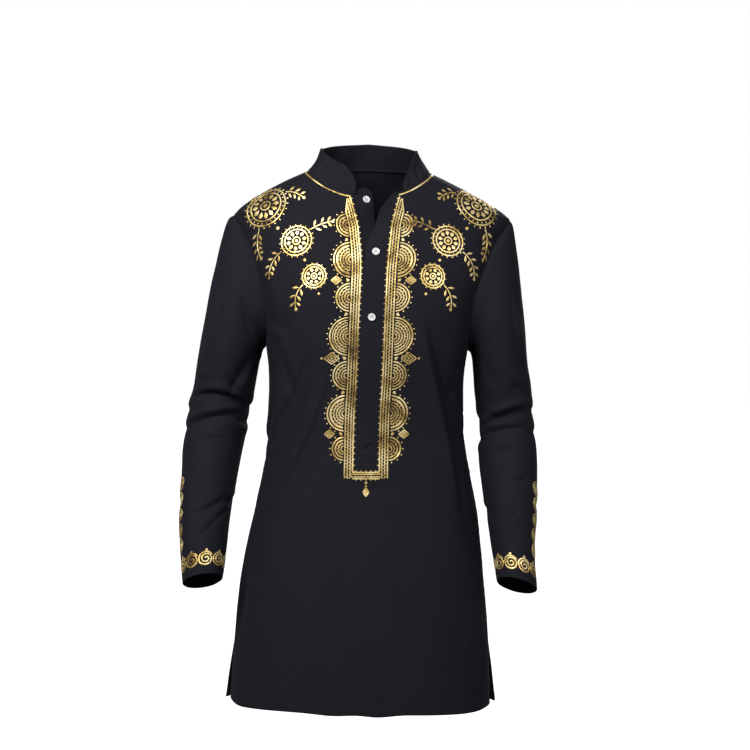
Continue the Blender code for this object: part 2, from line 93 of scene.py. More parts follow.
def new_material(name, **constants):
    """A material and its Principled shader, with the values of some of the shader's sockets."""
    material = bpy.data.materials.new(name)
    material.use_nodes = True
    shader = material.node_tree.nodes["Principled BSDF"]
    for socket, value in constants.items():
        shader.inputs[socket.replace("_", " ")].default_value = value
    return material, shader


camera = add_object("camera", bpy.data.cameras.new("camera"))
camera.data.lens, camera.data.sensor_width, camera.data.clip_end = LENS, SENSOR, SIGHT
camera.location = EYE
camera.rotation_euler = (math.pi / 2, 0, 0)
bpy.context.scene.camera = camera
bpy.context.scene.view_settings.view_transform = "Standard"

world = bpy.data.worlds.new("surround")
bpy.context.scene.world = world
world.use_nodes = True
nodes, links = world.node_tree.nodes, world.node_tree.links
seen = nodes["Background"]
seen.inputs["Color"].default_value = (1.0, 1.0, 1.0, 1)
lighting = nodes.new("ShaderNodeBackground")
lighting.inputs["Color"].default_value = (0.95, 0.97, 1.0, 1)
lighting.inputs["Strength"].default_value = SURROUND
choice = nodes.new("ShaderNodeMixShader")
links.new(nodes.new("ShaderNodeLightPath").outputs["Is Camera Ray"], choice.inputs["Fac"])
links.new(lighting.outputs["Background"], choice.inputs[1])
links.new(seen.outputs["Background"], choice.inputs[2])
links.new(choice.outputs["Shader"], nodes["World Output"].inputs["Surface"])

for name, place, side, power in LAMPS:
    lamp = add_object(name, bpy.data.lights.new(name, "AREA"))
    lamp.data.shape = "SQUARE"
    lamp.data.size = side
    lamp.data.energy = power
    lamp.location = place
    lamp.rotation_euler = (Vector(LIT) - Vector(place)).to_track_quat("-Z", "Y").to_euler()

pale, shader = new_material(
    "pale_floor",
    Base_Color=(0.9, 0.9, 0.9, 1),
    Roughness=0.9,
    Emission_Color=(1.0, 1.0, 1.0, 1),
    Emission_Strength=FLOOR_GLOW,
)
reach = FLOOR_REACH * np.array([(-1, -1), (1, -1), (1, 1), (-1, 1)])
corners = [(x, y, FLOOR_HEIGHT) for x, y in reach]
floor = add_mesh("floor", corners, [(0, 1, 2, 3)], pale)
floor.visible_diffuse = floor.visible_glossy = False  # the floor shows, but throws no light upwards
floor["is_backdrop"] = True


# ------------------------------------------------------------------ black cloth
# A fine plain weave of black cotton and polyester: matt, with a faint cool sheen. It is dyed evenly,
# and its threads show only from close by.
THREAD = 0.00055  # from one thread to the next
CLOTH_TONES = [(0.0078, 0.0074, 0.0109, 1), (0.0126, 0.0119, 0.0174, 1)]


class Wire:
    """An output of a material's node. Sums and products of wires and numbers add Math nodes."""

    def __init__(self, tree, socket=None):
        self.tree, self.socket = tree, socket

    def node(self, kind, sockets=(), output=0, stops=(), **settings):
        """A new node of that kind: its settings first, then the values or wires of its sockets."""
        made = self.tree.nodes.new("ShaderNode" + kind)
        for name, value in settings.items():
            setattr(made, name, value)
        for number, (place, colour) in enumerate(stops):
            ramp = made.color_ramp.elements
            stop = ramp[number] if number < 2 else ramp.new(place)
            stop.position, stop.color = place, colour
        for name, value in dict(sockets).items():
            if isinstance(value, Wire):
                self.tree.links.new(value.socket, made.inputs[name])
            else:
                made.inputs[name].default_value = value
        return Wire(self.tree, made.outputs[output])

    def maths(self, operation, *others, reflected=False):
        values = (*others, self) if reflected else (self, *others)
        return self.node("Math", enumerate(values), operation=operation)

    def __add__(self, other):
        return self.maths("ADD", other)

    def __sub__(self, other):
        return self.maths("SUBTRACT", other)

    def __mul__(self, other):
        return self.maths("MULTIPLY", other)

    def __truediv__(self, other):
        return self.maths("DIVIDE", other)

    def __rsub__(self, other):
        return self.maths("SUBTRACT", other, reflected=True)

    def __rtruediv__(self, other):
        return self.maths("DIVIDE", other, reflected=True)

    __radd__ = __add__
    __rmul__ = __mul__


def connect(shader, **wires):
    for socket, wire in wires.items():
        wire.tree.links.new(wire.socket, shader.inputs[socket.replace("_", " ")])


def mix_colours(factor, first, second):
    return factor.node("Mix", {"Factor": factor, 6: first, 7: second}, 2, data_type="RGBA")


def object_place(material):
    """A wire of the place in the object, to start a material's nodes from."""
    return Wire(material.node_tree).node("TexCoord", output=3)


def flat_place(spot, uv_map):
    """Wires of the two coordinates of a UV map."""
    across = spot.node("SeparateXYZ", {0: spot.node("UVMap", uv_map=uv_map)})
    return across, Wire(spot.tree, across.socket.node.outputs[1])


def speckle(spot, scale, **sockets):
    return spot.node("TexNoise", {"Vector": spot, "Scale": scale, **sockets})


def rough(height, strength, distance):
    return height.node("Bump", {"Strength": strength, "Distance": distance, "Height": height})


black_cloth, shader = new_material(
    "black_cloth",
    Sheen_Weight=0.02,
    Sheen_Roughness=0.5,
    Sheen_Tint=(0.62, 0.60, 0.80, 1),
    Specular_IOR_Level=0.10,
)
spot = object_place(black_cloth)
across, along = (way * (2 * math.pi / THREAD) for way in flat_place(spot, "cloth"))
cloud = speckle(spot, 7.0, Detail=4.0, Roughness=0.6)
fibre = speckle(spot, 900.0)
weave = across.maths("SINE") * along.maths("SINE")
connect(
    shader,
    Base_Color=mix_colours(cloud * 0.6 + fibre * 0.4, *CLOTH_TONES),
    Roughness=cloud * 0.12 + fibre * 0.10 + 0.66,
    Normal=rough(weave * 0.7 + fibre * 0.5, 0.35, 0.00012),
)


# ------------------------------------------------------------------ form of the worn tunic
# The hollow form that the cloth keeps: level sections for the torso, a neckline, egg-shaped armholes,
# and the creases that the arms and the waist pull in the cloth.
HEM_HEIGHT = -0.896
PLACKET_FOOT = -0.490
UNDERARM_HEIGHT = -0.300
SHOULDER_HEIGHT = -0.077
TILT = -0.020  # the tunic hangs lower towards the wearer's left, by this much per metre
SLIT_HEIGHT = -0.790
SLIT_OPENING = 0.022  # between the two panels' edges, at the hem
ARMHOLE_FRONT = 0.064  # how far the armholes reach forwards
ARMHOLE_BACK = 0.062
ARMHOLE_EGG = 0.30  # how much narrower they are at the top
CLOTH = 0.0010  # the thickness of one layer
HEM_STITCHES = 0.020  # how far from the hem or the cuff's edge
TURN_UP = 0.0009  # what a second layer adds: a hem, a seam's allowance or a facing
SEAM_ALLOWANCE = 0.010
SEAM_FADE = 0.022  # how far an armhole's seam keeps the cloth even
SLIT_TURN_UP = 0.012
SHOULDER_ROWS = 40
WAIST_ROWS = 64
SKIRT_ROWS = 100
ARM_ROWS = 62
HEM_ROWS = [0, 0.0012, 0.004, 0.008, 0.012, 0.0155, 0.018, 0.020, 0.022, 0.0245]  # up from the hem
FOOT_ROW = len(HEM_ROWS) + SKIRT_ROWS  # the row at the placket's foot
YOKE_EASE = 1.3
CREASE_STEPS = 12
CREASE_BLUNT = 0.0022  # how rounded a crease's sharpest line is
FACINGS = {"front": (0, -1, 0), "back": (0, 1, 0), "left": (1, 0, 0), "right": (-1, 0, 0)}

TORSO = [
    # height, half, across, ahead, front, back, square
    (-0.905, 0.2205, -0.0135, 0.000, 0.150, 0.140, 2.3),
    (-0.800, 0.2155, -0.011, 0.000, 0.146, 0.142, 2.3),
    (-0.709, 0.2075, -0.010, 0.000, 0.138, 0.142, 2.3),
    (-0.627, 0.1970, -0.006, 0.000, 0.128, 0.134, 2.3),
    (-0.566, 0.1870, -0.003, 0.000, 0.120, 0.124, 2.3),
    (-0.505, 0.1750, -0.003, 0.000, 0.114, 0.112, 2.3),
    (-0.444, 0.1670, -0.004, 0.001, 0.112, 0.104, 2.3),
    (-0.393, 0.1640, -0.004, 0.002, 0.114, 0.104, 2.4),
    (-0.342, 0.1660, -0.003, 0.003, 0.119, 0.110, 2.5),
    (-0.300, 0.1710, -0.002, 0.004, 0.123, 0.116, 2.7),
    (-0.235, 0.1810, 0.001, 0.006, 0.125, 0.121, 2.9),
    (-0.160, 0.2050, 0.004, 0.008, 0.117, 0.120, 2.5),
    (-0.110, 0.2240, 0.006, 0.010, 0.105, 0.113, 2.1),
    (-0.077, 0.2355, 0.007, 0.011, 0.094, 0.104, 1.9),
    (-0.056, 0.2120, 0.005, 0.011, 0.086, 0.096, 1.9),
    (-0.036, 0.1785, 0.003, 0.011, 0.079, 0.087, 2.0),
    (-0.015, 0.1375, 0.002, 0.010, 0.073, 0.078, 2.1),
    (0.000, 0.1045, 0.002, 0.009, 0.068, 0.071, 2.2),
    (0.014, 0.0800, 0.002, 0.008, 0.062, 0.065, 2.2),
]
NECK_FRONT = [
    # out, height
    (0.0000, -0.0470),
    (0.0360, -0.0430),
    (0.0590, -0.0360),
    (0.0820, -0.0230),
    (0.1000, -0.0070),
    (0.1045, 0.0000),
]
NECK_BACK = [
    # out, height
    (0.0000, 0.0100),
    (0.0500, 0.0080),
    (0.0850, 0.0040),
    (0.1045, 0.0000),
]
CREASES = {
    # the side it faces: where it starts, bends and ends (x or y, then height), half of its width, its depth
    # (a ridge if below zero), all in millimetres, and its lean
    "front": [
        (-190, -150, -176, -205, -158, -275, 12, 9.5, 0.6),
        (-170, -240, -150, -262, -118, -275, 10, 3.1, -0.5),
        (-100, -298, -126, -364, -162, -440, 5.2, -3.4, 0.6),
        (-126, -366, -139, -394, -149, -424, 6, -2.5, 0.5),
        (-170, -262, -140, -330, -120, -388, 11, 6.7, 0.7),
        (-60, -316, -97, -434, -168, -574, 5.2, -3.5, 0.5),
        (-86, -345, -142, -480, -200, -590, 13, 7, 0.6),
        (-40, -400, -90, -498, -158, -622, 16, 3, 0.5),
        (-128, -500, -160, -556, -196, -618, 9, 3.7, -0.7),
        (-150, -330, -166, -392, -168, -450, 10, 5.1, 0.5),
        (203, -168, 182, -214, 162, -250, 10, 5.8, 0.6),
        (172, -225, 158, -318, 132, -396, 12, 9, -0.4),
        (81, -222, 121, -417, 152, -572, 5.5, -3.2, 0.7),
        (98, -245, 135, -417, 164, -575, 12, 11.4, -0.9),
        (152, -392, 158, -440, 158, -492, 9, 6.8, 0.6),
        (146, -540, 170, -600, 186, -680, 12, 3.4, 0.6),
        (70, -400, 86, -520, 100, -660, 20, 1.4, -0.4),
        (-20, -600, -50, -720, -62, -850, 30, 1.8, 0.3),
        (45, -620, 60, -740, 58, -880, 28, 1.9, -0.3),
        (-120, -660, -140, -760, -140, -880, 26, 2, 0.3),
        (135, -690, 150, -790, 150, -885, 24, 1.9, 0.3),
        (-30, -515, 10, -530, 60, -520, 14, 2, 0.4),
        (-215, -100, -190, -120, -160, -128, 12, 2, 0.4),
        (222, -108, 196, -126, 168, -132, 12, 2, -0.4),
    ],
    "back": [
        (-180, -190, -150, -250, -95, -300, 13, 6.8, 0.6),
        (180, -190, 148, -256, 100, -296, 13, 6.5, -0.6),
        (-172, -262, -130, -320, -60, -366, 11, 5.4, 0.6),
        (170, -268, 136, -330, 72, -372, 11, 5.1, -0.6),
        (-158, -396, -70, -420, 30, -406, 13, 6.6, 0.6),
        (-30, -440, 60, -462, 156, -424, 13, 6.1, 0.6),
        (-154, -452, -106, -474, -40, -470, 11, 4.4, 0.5),
        (60, -386, 108, -394, 156, -372, 10, 4, 0.6),
        (-20, -368, 20, -374, 66, -360, 11, 2.8, 0.5),
        (20, -506, 70, -514, 130, -496, 12, 3.4, 0.5),
        (-90, -520, -120, -640, -128, -860, 26, 7.5, 0.4),
        (0, -540, 10, -680, -6, -880, 30, 7.1, -0.4),
        (92, -520, 118, -650, 126, -870, 26, 7.5, -0.4),
        (-30, -110, 0, -190, 6, -280, 22, 3.1, 0.3),
    ],
    "left": [
        (-60, -345, -10, -420, 20, -520, 12, 5.1, 0.5),
        (50, -380, 20, -450, -20, -510, 11, 4.4, 0.5),
        (30, -560, 44, -680, 40, -800, 18, 5.8, -0.4),
    ],
    "right": [
        (-60, -350, -20, -430, 26, -520, 12, 5.1, 0.5),
        (50, -372, 16, -440, -30, -500, 11, 4.4, -0.5),
        (-40, -560, -50, -680, -44, -800, 18, 5.8, 0.4),
    ],
}

cloth = {}  # of each piece of cloth its object, the grid of its outer points, and their directions


def smooth(table, at):
    """The table's columns at each key in `at`, by cubics that never run past the rows' own values."""
    rows = np.array(table, float)
    keys, values = rows[:, 0], rows[:, 1:]
    steps = np.diff(keys)[:, None]
    slopes = np.diff(values, axis=0) / steps
    tangents = np.zeros_like(values)
    product, total = slopes[:-1] * slopes[1:], slopes[:-1] + slopes[1:]
    np.divide(2 * product, total, out=tangents[1:-1], where=product > 0)
    tangents[0], tangents[-1] = slopes[0], slopes[-1]
    at = np.clip(np.asarray(at, float), keys[0], keys[-1])
    i = np.clip(np.searchsorted(keys, at) - 1, 0, len(keys) - 2)
    step = steps[i]
    t = (at - keys[i])[..., None] / step
    start = values[i] * (1 + 2 * t) * (1 - t) ** 2 + tangents[i] * step * t * (1 - t) ** 2
    end = values[i + 1] * t * t * (3 - 2 * t) + tangents[i + 1] * step * t * t * (t - 1)
    return np.moveaxis(start + end, -1, 0)


def lerp(a, b, t):
    return a + (b - a) * t


def unit(vectors):
    return vectors / np.maximum(np.linalg.norm(vectors, axis=-1, keepdims=True), 1e-12)


def ease(share):
    """The share from 0 to 1, eased at both ends."""
    share = np.clip(share, 0, 1)
    return share * share * (3 - 2 * share)


def swell(distance, width):
    """1 where the distance is 0, and fading away over that width."""
    return np.exp(-((distance / width) ** 2))


def closer_at_ends(count, tightness=0.62):
    """Shares from 0 to 1 with shorter steps near both ends."""
    t = np.linspace(0, 1, count + 1)
    return t - tightness * np.sin(2 * math.pi * t) / (2 * math.pi)


def run_lengths(points, axis):
    """Distance travelled along that axis of a grid of points."""
    steps = np.linalg.norm(np.diff(points, axis=axis), axis=-1)
    start = np.zeros_like(np.take(steps, [0], axis=axis))
    return np.concatenate([start, np.cumsum(steps, axis=axis)], axis=axis)


def from_sides(points):
    """Distance from the nearer side of a grid of points."""
    run = run_lengths(points, 1)
    return np.minimum(run, run[:, [-1]] - run)


def torso(height, turn):
    """Points of the torso: turn is 0 at the middle of the front and a quarter turn at a side."""
    half, across, ahead, front, back, square = smooth(TORSO, height)
    sine, cosine = np.sin(turn), np.cos(turn)
    reach = (np.abs(sine) ** square + np.abs(cosine) ** square) ** (-1 / square)
    x = across + half * reach * sine
    y = ahead - np.where(cosine > 0, front, back) * reach * cosine
    return np.stack([x, y, height + TILT * x], axis=-1)


def torso_out(height, turn):
    """The outward direction of the torso there."""
    step = 0.002
    around = torso(height, turn + step) - torso(height, turn - step)
    return unit(np.cross(around, torso(height + step, turn) - torso(height - step, turn)))


def turn_at_x(height, x, back=False):
    half, across, _, _, _, square = smooth(TORSO, height)
    side = np.clip((x - across) / half, -1, 1)
    forward = (1 - np.abs(side) ** square) ** (1 / square)
    return np.arctan2(side, -forward) % (2 * math.pi) if back else np.arctan2(side, forward)


def armhole_height(share):
    """Height down the armhole, from 0 at the shoulder seam by 1 at the underarm to 2 again."""
    middle, half = (SHOULDER_HEIGHT + UNDERARM_HEIGHT) / 2, (SHOULDER_HEIGHT - UNDERARM_HEIGHT) / 2
    return middle + half * np.cos(math.pi * share)


def slit_share(height):
    """0 at the top of the side slits and above it, 1 at the hem."""
    return np.maximum(0.0, (SLIT_HEIGHT - height) / (SLIT_HEIGHT - HEM_HEIGHT))


def edge_turn(height, back, roundness=0.5):
    """The turn of a panel's edge at the wearer's left: at its side slit, side seam or armhole. A higher
    roundness narrows the ends of the armhole."""
    _, _, _, front_depth, back_depth, square = smooth(TORSO, height)
    opening = SLIT_OPENING * slit_share(height)
    below = math.pi / 2 + (0.3 * opening / back_depth if back else -0.7 * opening / front_depth)
    level = np.clip(2 * (height - UNDERARM_HEIGHT) / (SHOULDER_HEIGHT - UNDERARM_HEIGHT) - 1, -1, 1)
    reach = (1 - level**2) ** roundness * (1 - ARMHOLE_EGG * level)
    forward = -ARMHOLE_BACK * reach / back_depth if back else ARMHOLE_FRONT * reach / front_depth
    at_arm = np.arctan2((1 - np.abs(forward) ** square) ** (1 / square), forward)
    return np.where(height < UNDERARM_HEIGHT, below, at_arm)


def eased_edge(height, back, share):
    """The turn that a panel's column starts from: its edge, and further in a gentler line beside it."""
    return lerp(edge_turn(height, back), edge_turn(height, back, roundness=1.0), ease(share / 0.3))


def neckline(x, back=False):
    """The height of the neckline at that x."""
    across = smooth(TORSO, 0.0)[1]
    return smooth(NECK_BACK if back else NECK_FRONT, np.abs(x - across))[0]


def crease_depth(points, out, creases):
    """How deep the creases press each point of the cloth in, in metres."""
    depth = np.zeros(points.shape[:-1])
    t = np.linspace(0, 1, CREASE_STEPS + 1)[:, None]
    folds = [(side, *row) for side, rows in creases.items() for row in rows]
    for side, *line, half_width, deepest, lean in folds:
        facing = ease(1.7 * (out @ np.array(FACINGS[side], float)) - 0.15)
        place = points[..., [0 if side in ("front", "back") else 1, 2]]
        first, middle, last = np.array(line).reshape(3, 2) / 1000
        bent = first * (1 - t) ** 2 + (4 * middle - first - last) * t * (1 - t) + last * t**2
        nearest = np.full(points.shape[:-1], 1e3)
        signed, along = np.zeros_like(nearest), np.zeros_like(nearest)
        for n in range(CREASE_STEPS):
            run = bent[n + 1] - bent[n]
            reach = place - bent[n]
            share = np.clip(reach @ run / (run @ run), 0, 1)
            away = np.linalg.norm(reach - share[..., None] * run, axis=-1)
            closer = away < nearest
            cross = run[0] * reach[..., 1] - run[1] * reach[..., 0]
            signed = np.where(closer, np.sign(cross) * away, signed)
            along = np.where(closer, (n + share) / CREASE_STEPS, along)
            nearest = np.where(closer, away, nearest)
        fade = np.sin(math.pi * np.clip(along, 0, 1))
        width = half_width / 1000 * (0.65 + 0.35 * fade)
        towards_fold = signed * np.sign(lean)
        sharp = (np.hypot(signed, CREASE_BLUNT) - CREASE_BLUNT) / (0.32 * width)
        broad = np.where(towards_fold > 0, 0.60, 1.40) * width
        trough = 0.50 * swell(signed, broad) + 0.50 * np.exp(-sharp)
        ridge = swell(towards_fold - 1.40 * width, width)
        depth += deepest / 1000 * facing * fade * (trough - abs(lean) * 0.6 * ridge)
    return depth


def waviness(points):
    """Small unevenness that all cloth has, in metres."""
    flat = points.reshape(-1, 3)
    broad = [noise.noise(Vector(p) * 9.0) for p in flat]
    fine = [noise.noise(Vector(p) * 34.0 + Vector((5, 3, 8))) for p in flat]
    return (0.0016 * np.array(broad) + 0.00035 * np.array(fine)).reshape(points.shape[:-1])


def seam_dip(distance, border):
    """The dent and the little puckers beside a seam, from the distance to it and its nearest points."""
    phase = border @ np.array([420.0, 380.0, 460.0])
    pucker = np.sin(phase) * (0.6 + 0.4 * np.sin(phase * 0.31 + 1.0))
    return -0.0007 * swell(distance, 0.0028) + 0.00045 * pucker * np.exp(-distance / 0.009)


def armhole_fade(heights, from_side):
    """0 along the armhole, so that its edge stays where the sleeve is sewn on, and 1 away from it."""
    return 1 - swell(from_side, SEAM_FADE) * swell(np.maximum(0.0, UNDERARM_HEIGHT - heights), 0.025)


def tip_ease(heights, from_side):
    """Flattens the end of the shoulder, so that its outline runs straight on into the sleeve, and rounds
    the cloth beside it where it starts to slope."""
    tip = swell(from_side, 0.014) * swell(heights + 0.070, 0.0055)
    slope = swell(heights - SHOULDER_HEIGHT, 0.013) * swell(from_side, 0.075)
    return -0.0014 * tip - 0.0020 * slope * (1 - swell(from_side, 0.012))


def hem_dip(distance, along):
    """The dent of the stitches that hold a turned-up edge, and its slight ripples below them."""
    ripple = np.sin(along / 0.0052 + 2.0 * np.sin(along / 0.031))
    near = np.clip(1 - np.abs(distance - 0.010) / 0.016, 0, 1)
    return -0.00025 * swell(distance - HEM_STITCHES, 0.0020) + 0.00035 * ripple * near


def uneven_hem(distance, along):
    """How much the hem hangs lower here and there, in metres."""
    wave = np.sin(along / 0.019 + 1.6 * np.sin(along / 0.047)) + 0.7 * np.sin(along / 0.033 + 2.0)
    return 0.0011 * wave * swell(distance, 0.05)


def row_heights():
    """Heights of a panel's rows, closer at the hem, and from there up to the shoulder's level."""
    hem = HEM_HEIGHT + np.array(HEM_ROWS)
    skirt = np.linspace(HEM_HEIGHT + 0.029, PLACKET_FOOT, SKIRT_ROWS + 1)
    waist = np.linspace(PLACKET_FOOT, UNDERARM_HEIGHT, WAIST_ROWS + 1)
    arm = armhole_height(np.linspace(1, 0, ARM_ROWS + 1))
    return np.array([*hem, *skirt, *waist[1:], *arm[1:]])


def add_yoke(heights, turns, neck_x, back=False):
    """Adds the rows from the shoulder's level up to the neckline. Their ends are the shoulder seams."""
    neck_heights = neckline(neck_x, back)
    share = closer_at_ends(SHOULDER_ROWS, 0.45)[1:, None]
    yoke_heights = lerp(SHOULDER_HEIGHT, neck_heights, share)
    yoke_turns = lerp(turns[-1], turn_at_x(neck_heights, neck_x, back), share**YOKE_EASE)
    return np.vstack([np.broadcast_to(heights, turns.shape), yoke_heights]), np.vstack([turns, yoke_turns])


def settle(piece, slot=None, *nodes):
    """Makes a piece move with the tunic and hides the CAD nodes it stands for; its slot is not used."""
    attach(piece, "root")
    if nodes:
        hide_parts(*nodes)


def grid_cells(rows, columns, first=0, wrap=False):
    """The cells of a grid of points, each by the numbers of its corners."""
    cells = []
    for low in range(first, first + (rows - 1) * columns, columns):
        for j in range(columns if wrap else columns - 1):
            beside = (j + 1) % columns
            cells.append((low + j, low + beside, low + columns + beside, low + columns + j))
    return cells


def set_uv(mesh, name, places):
    """Adds a UV map in which each vertex has one place."""
    loops = np.zeros(len(mesh.loops), np.int32)
    mesh.loops.foreach_get("vertex_index", loops)
    mesh.uv_layers.new(name=name).data.foreach_set("uv", places[loops].reshape(-1))


def wall(name, outer, out, thickness, wrap=False, missing=None):
    """A closed piece of cloth: its outer side, its inner side and a rounded edge all round. Its "cloth"
    UV map is in metres along the cloth. Cells for which missing(row, column) holds are left out."""
    rows, columns = outer.shape[:2]
    thickness = np.broadcast_to(thickness, (rows, columns)).reshape(-1, 1)
    outside, outwards = outer.reshape(-1, 3), out.reshape(-1, 3)
    inside = outside - outwards * thickness
    cells = grid_cells(rows, columns, wrap=wrap)
    if missing:
        cells = [cell for cell in cells if not missing(*divmod(cell[0], columns))]
    sides = {(cell[n], cell[(n + 1) % 4]) for cell in cells for n in range(4)}
    rim = sorted((a, b) for a, b in sides if (b, a) not in sides)
    used = sorted({v for cell in cells for v in cell})
    aways = {}
    for a, b in rim:  # an edge's round middle lies a little outside both layers
        for v in (a, b):
            aways.setdefault(v, []).append(unit(np.cross(outside[b] - outside[a], outwards[a])))
    vertices = [outside[v] for v in used] + [inside[v] for v in used]
    for v, away in aways.items():
        vertices.append((outside[v] + inside[v]) / 2 + unit(np.mean(away, axis=0)) * thickness[v] * 0.45)
    keys = [(layer, v) for layer, members in enumerate((used, used, aways)) for v in members]
    number = {key: n for n, key in enumerate(keys)}
    faces = [tuple(number[0, v] for v in cell) for cell in cells]
    faces += [tuple(number[1, v] for v in reversed(cell)) for cell in cells]
    for a, b in rim:
        faces.append((number[0, b], number[0, a], number[2, a], number[2, b]))
        faces.append((number[2, b], number[2, a], number[1, a], number[1, b]))
    piece = add_mesh("cloth_" + name, vertices, faces, black_cloth)
    across = run_lengths(outer, 1)
    flat = np.stack([across - across[:, [columns // 2]], run_lengths(outer, 0)], axis=-1).reshape(-1, 2)
    set_uv(piece.data, "cloth", flat[[v for _, v in keys]])
    piece.data.shade_smooth()
    settle(piece, "black_cloth", name)
    cloth[name] = piece, outer, out


def make_panel(name, heights, base, out, missing=None):
    """The front or the back, from the points of its smooth form."""
    from_side, from_hem, along = from_sides(base), run_lengths(base, 0), run_lengths(base, 1)
    on_one_side = np.arange(base.shape[1])[None, :, None] <= base.shape[1] // 2
    lift = (waviness(base) - crease_depth(base, out, CREASES)) * armhole_fade(heights, from_side)
    lift *= 1 - swell(from_hem[-1] - from_hem, 0.012)
    lift += seam_dip(from_side, np.where(on_one_side, base[:, :1], base[:, -1:])) * (heights > SLIT_HEIGHT)
    lift += hem_dip(from_hem, along) + tip_ease(heights, from_side)
    points = base + out * lift[..., None]
    points[..., 2] += uneven_hem(from_hem, along)
    turned = (from_hem < HEM_STITCHES + 0.001) | ((from_side < SLIT_TURN_UP) & (heights < SLIT_HEIGHT))
    turned |= from_side < SEAM_ALLOWANCE
    wall(name, points, out, CLOTH + TURN_UP * turned, missing=missing)


# ------------------------------------------------------------------ front
# One panel of cloth from the shoulder seams to the hem, slit from the neckline for the placket. It is
# sewn to the back along the shoulders and the sides, and its hem and side slits are turned in.
SIDE_COLUMNS = 84  # from a side to the placket's slit
SLIT_COLUMNS = 8  # across the slit, below the placket's foot
SLIT_END = SIDE_COLUMNS + SLIT_COLUMNS
PLACKET = [
    # height, middle of the slit, its width, turn of the buttons' strip, turn of the holes' strip
    (-0.500, -0.0030, 0.0340, 0, 0),
    (-0.420, -0.0012, 0.0340, 0, 0),
    (-0.350, 0.0028, 0.0340, 0, 0),
    (-0.250, 0.0069, 0.0340, 0, 0),
    (-0.178, 0.0102, 0.0340, 0, 0),
    (-0.140, 0.0116, 0.0385, 8, 0),
    (-0.115, 0.0117, 0.0436, 25, 9),
    (-0.100, 0.0117, 0.0468, 36, 24),
    (-0.086, 0.0116, 0.0530, 38, 39),
    (-0.072, 0.0116, 0.0600, 31, 48),
    (-0.060, 0.0115, 0.0662, 22, 60),
    (-0.046, 0.0115, 0.0730, 20, 75),
    (-0.036, 0.0115, 0.0730, 19, 100),
]


def slit_edges(height):
    """The x of the two edges of the placket's slit."""
    middle, width = smooth(PLACKET, height)[:2]
    return middle - width / 2, middle + width / 2


heights = row_heights()[:, None]
slit_left, slit_right = (turn_at_x(heights, x) for x in slit_edges(heights))
share = closer_at_ends(SIDE_COLUMNS, 0.35)
edge = eased_edge(heights, False, share)
across_slit = np.linspace(0, 1, SLIT_COLUMNS + 1)[1:-1]
sides = lerp(-edge, slit_left, share), lerp(edge, slit_right, share)[:, ::-1]
turns = np.hstack([sides[0], lerp(slit_left, slit_right, across_slit), sides[1]])
across, out_at_neck = smooth(TORSO, 0.0)[1], NECK_FRONT[-1][0]
neck_left, neck_right = slit_edges(NECK_FRONT[0][1])
share = np.sin(closer_at_ends(SIDE_COLUMNS, 0.3) * math.pi / 2)
sides = lerp(neck_left, across - out_at_neck, share)[::-1], lerp(neck_right, across + out_at_neck, share)
neck_x = np.concatenate([sides[0], lerp(neck_left, neck_right, across_slit), sides[1]])
heights, turns = add_yoke(heights, turns, neck_x)
front_base = torso(heights, turns)
make_panel(
    "front",
    heights,
    front_base,
    torso_out(heights, turns),
    missing=lambda i, j: i >= FOOT_ROW and SIDE_COLUMNS <= j < SLIT_END,
)


# ------------------------------------------------------------------ back
# One panel of the same cloth, sewn to the front along the shoulders and down the sides to the slits.
# Its lower corners stand out a little past the front's at the slits.
BACK_COLUMNS = 132
SLIT_FLARE = 0.010

heights = row_heights()[:, None]
share = closer_at_ends(BACK_COLUMNS)
edge = eased_edge(heights, True, np.minimum(share, 1 - share))
turns = lerp(edge, 2 * math.pi - edge, share)
corner = np.abs(np.linspace(-1, 1, BACK_COLUMNS + 1)) ** 6
flare = SLIT_FLARE * slit_share(heights) * corner * np.sin(turns)
neck_x = smooth(TORSO, 0.0)[1] + NECK_BACK[-1][0] * np.cos(np.linspace(0, math.pi, BACK_COLUMNS + 1))
heights, turns = add_yoke(heights, turns, neck_x, back=True)
back_base = torso(heights, turns)
back_base[: len(flare), :, 0] += flare
make_panel("back", heights, back_base, torso_out(heights, turns))


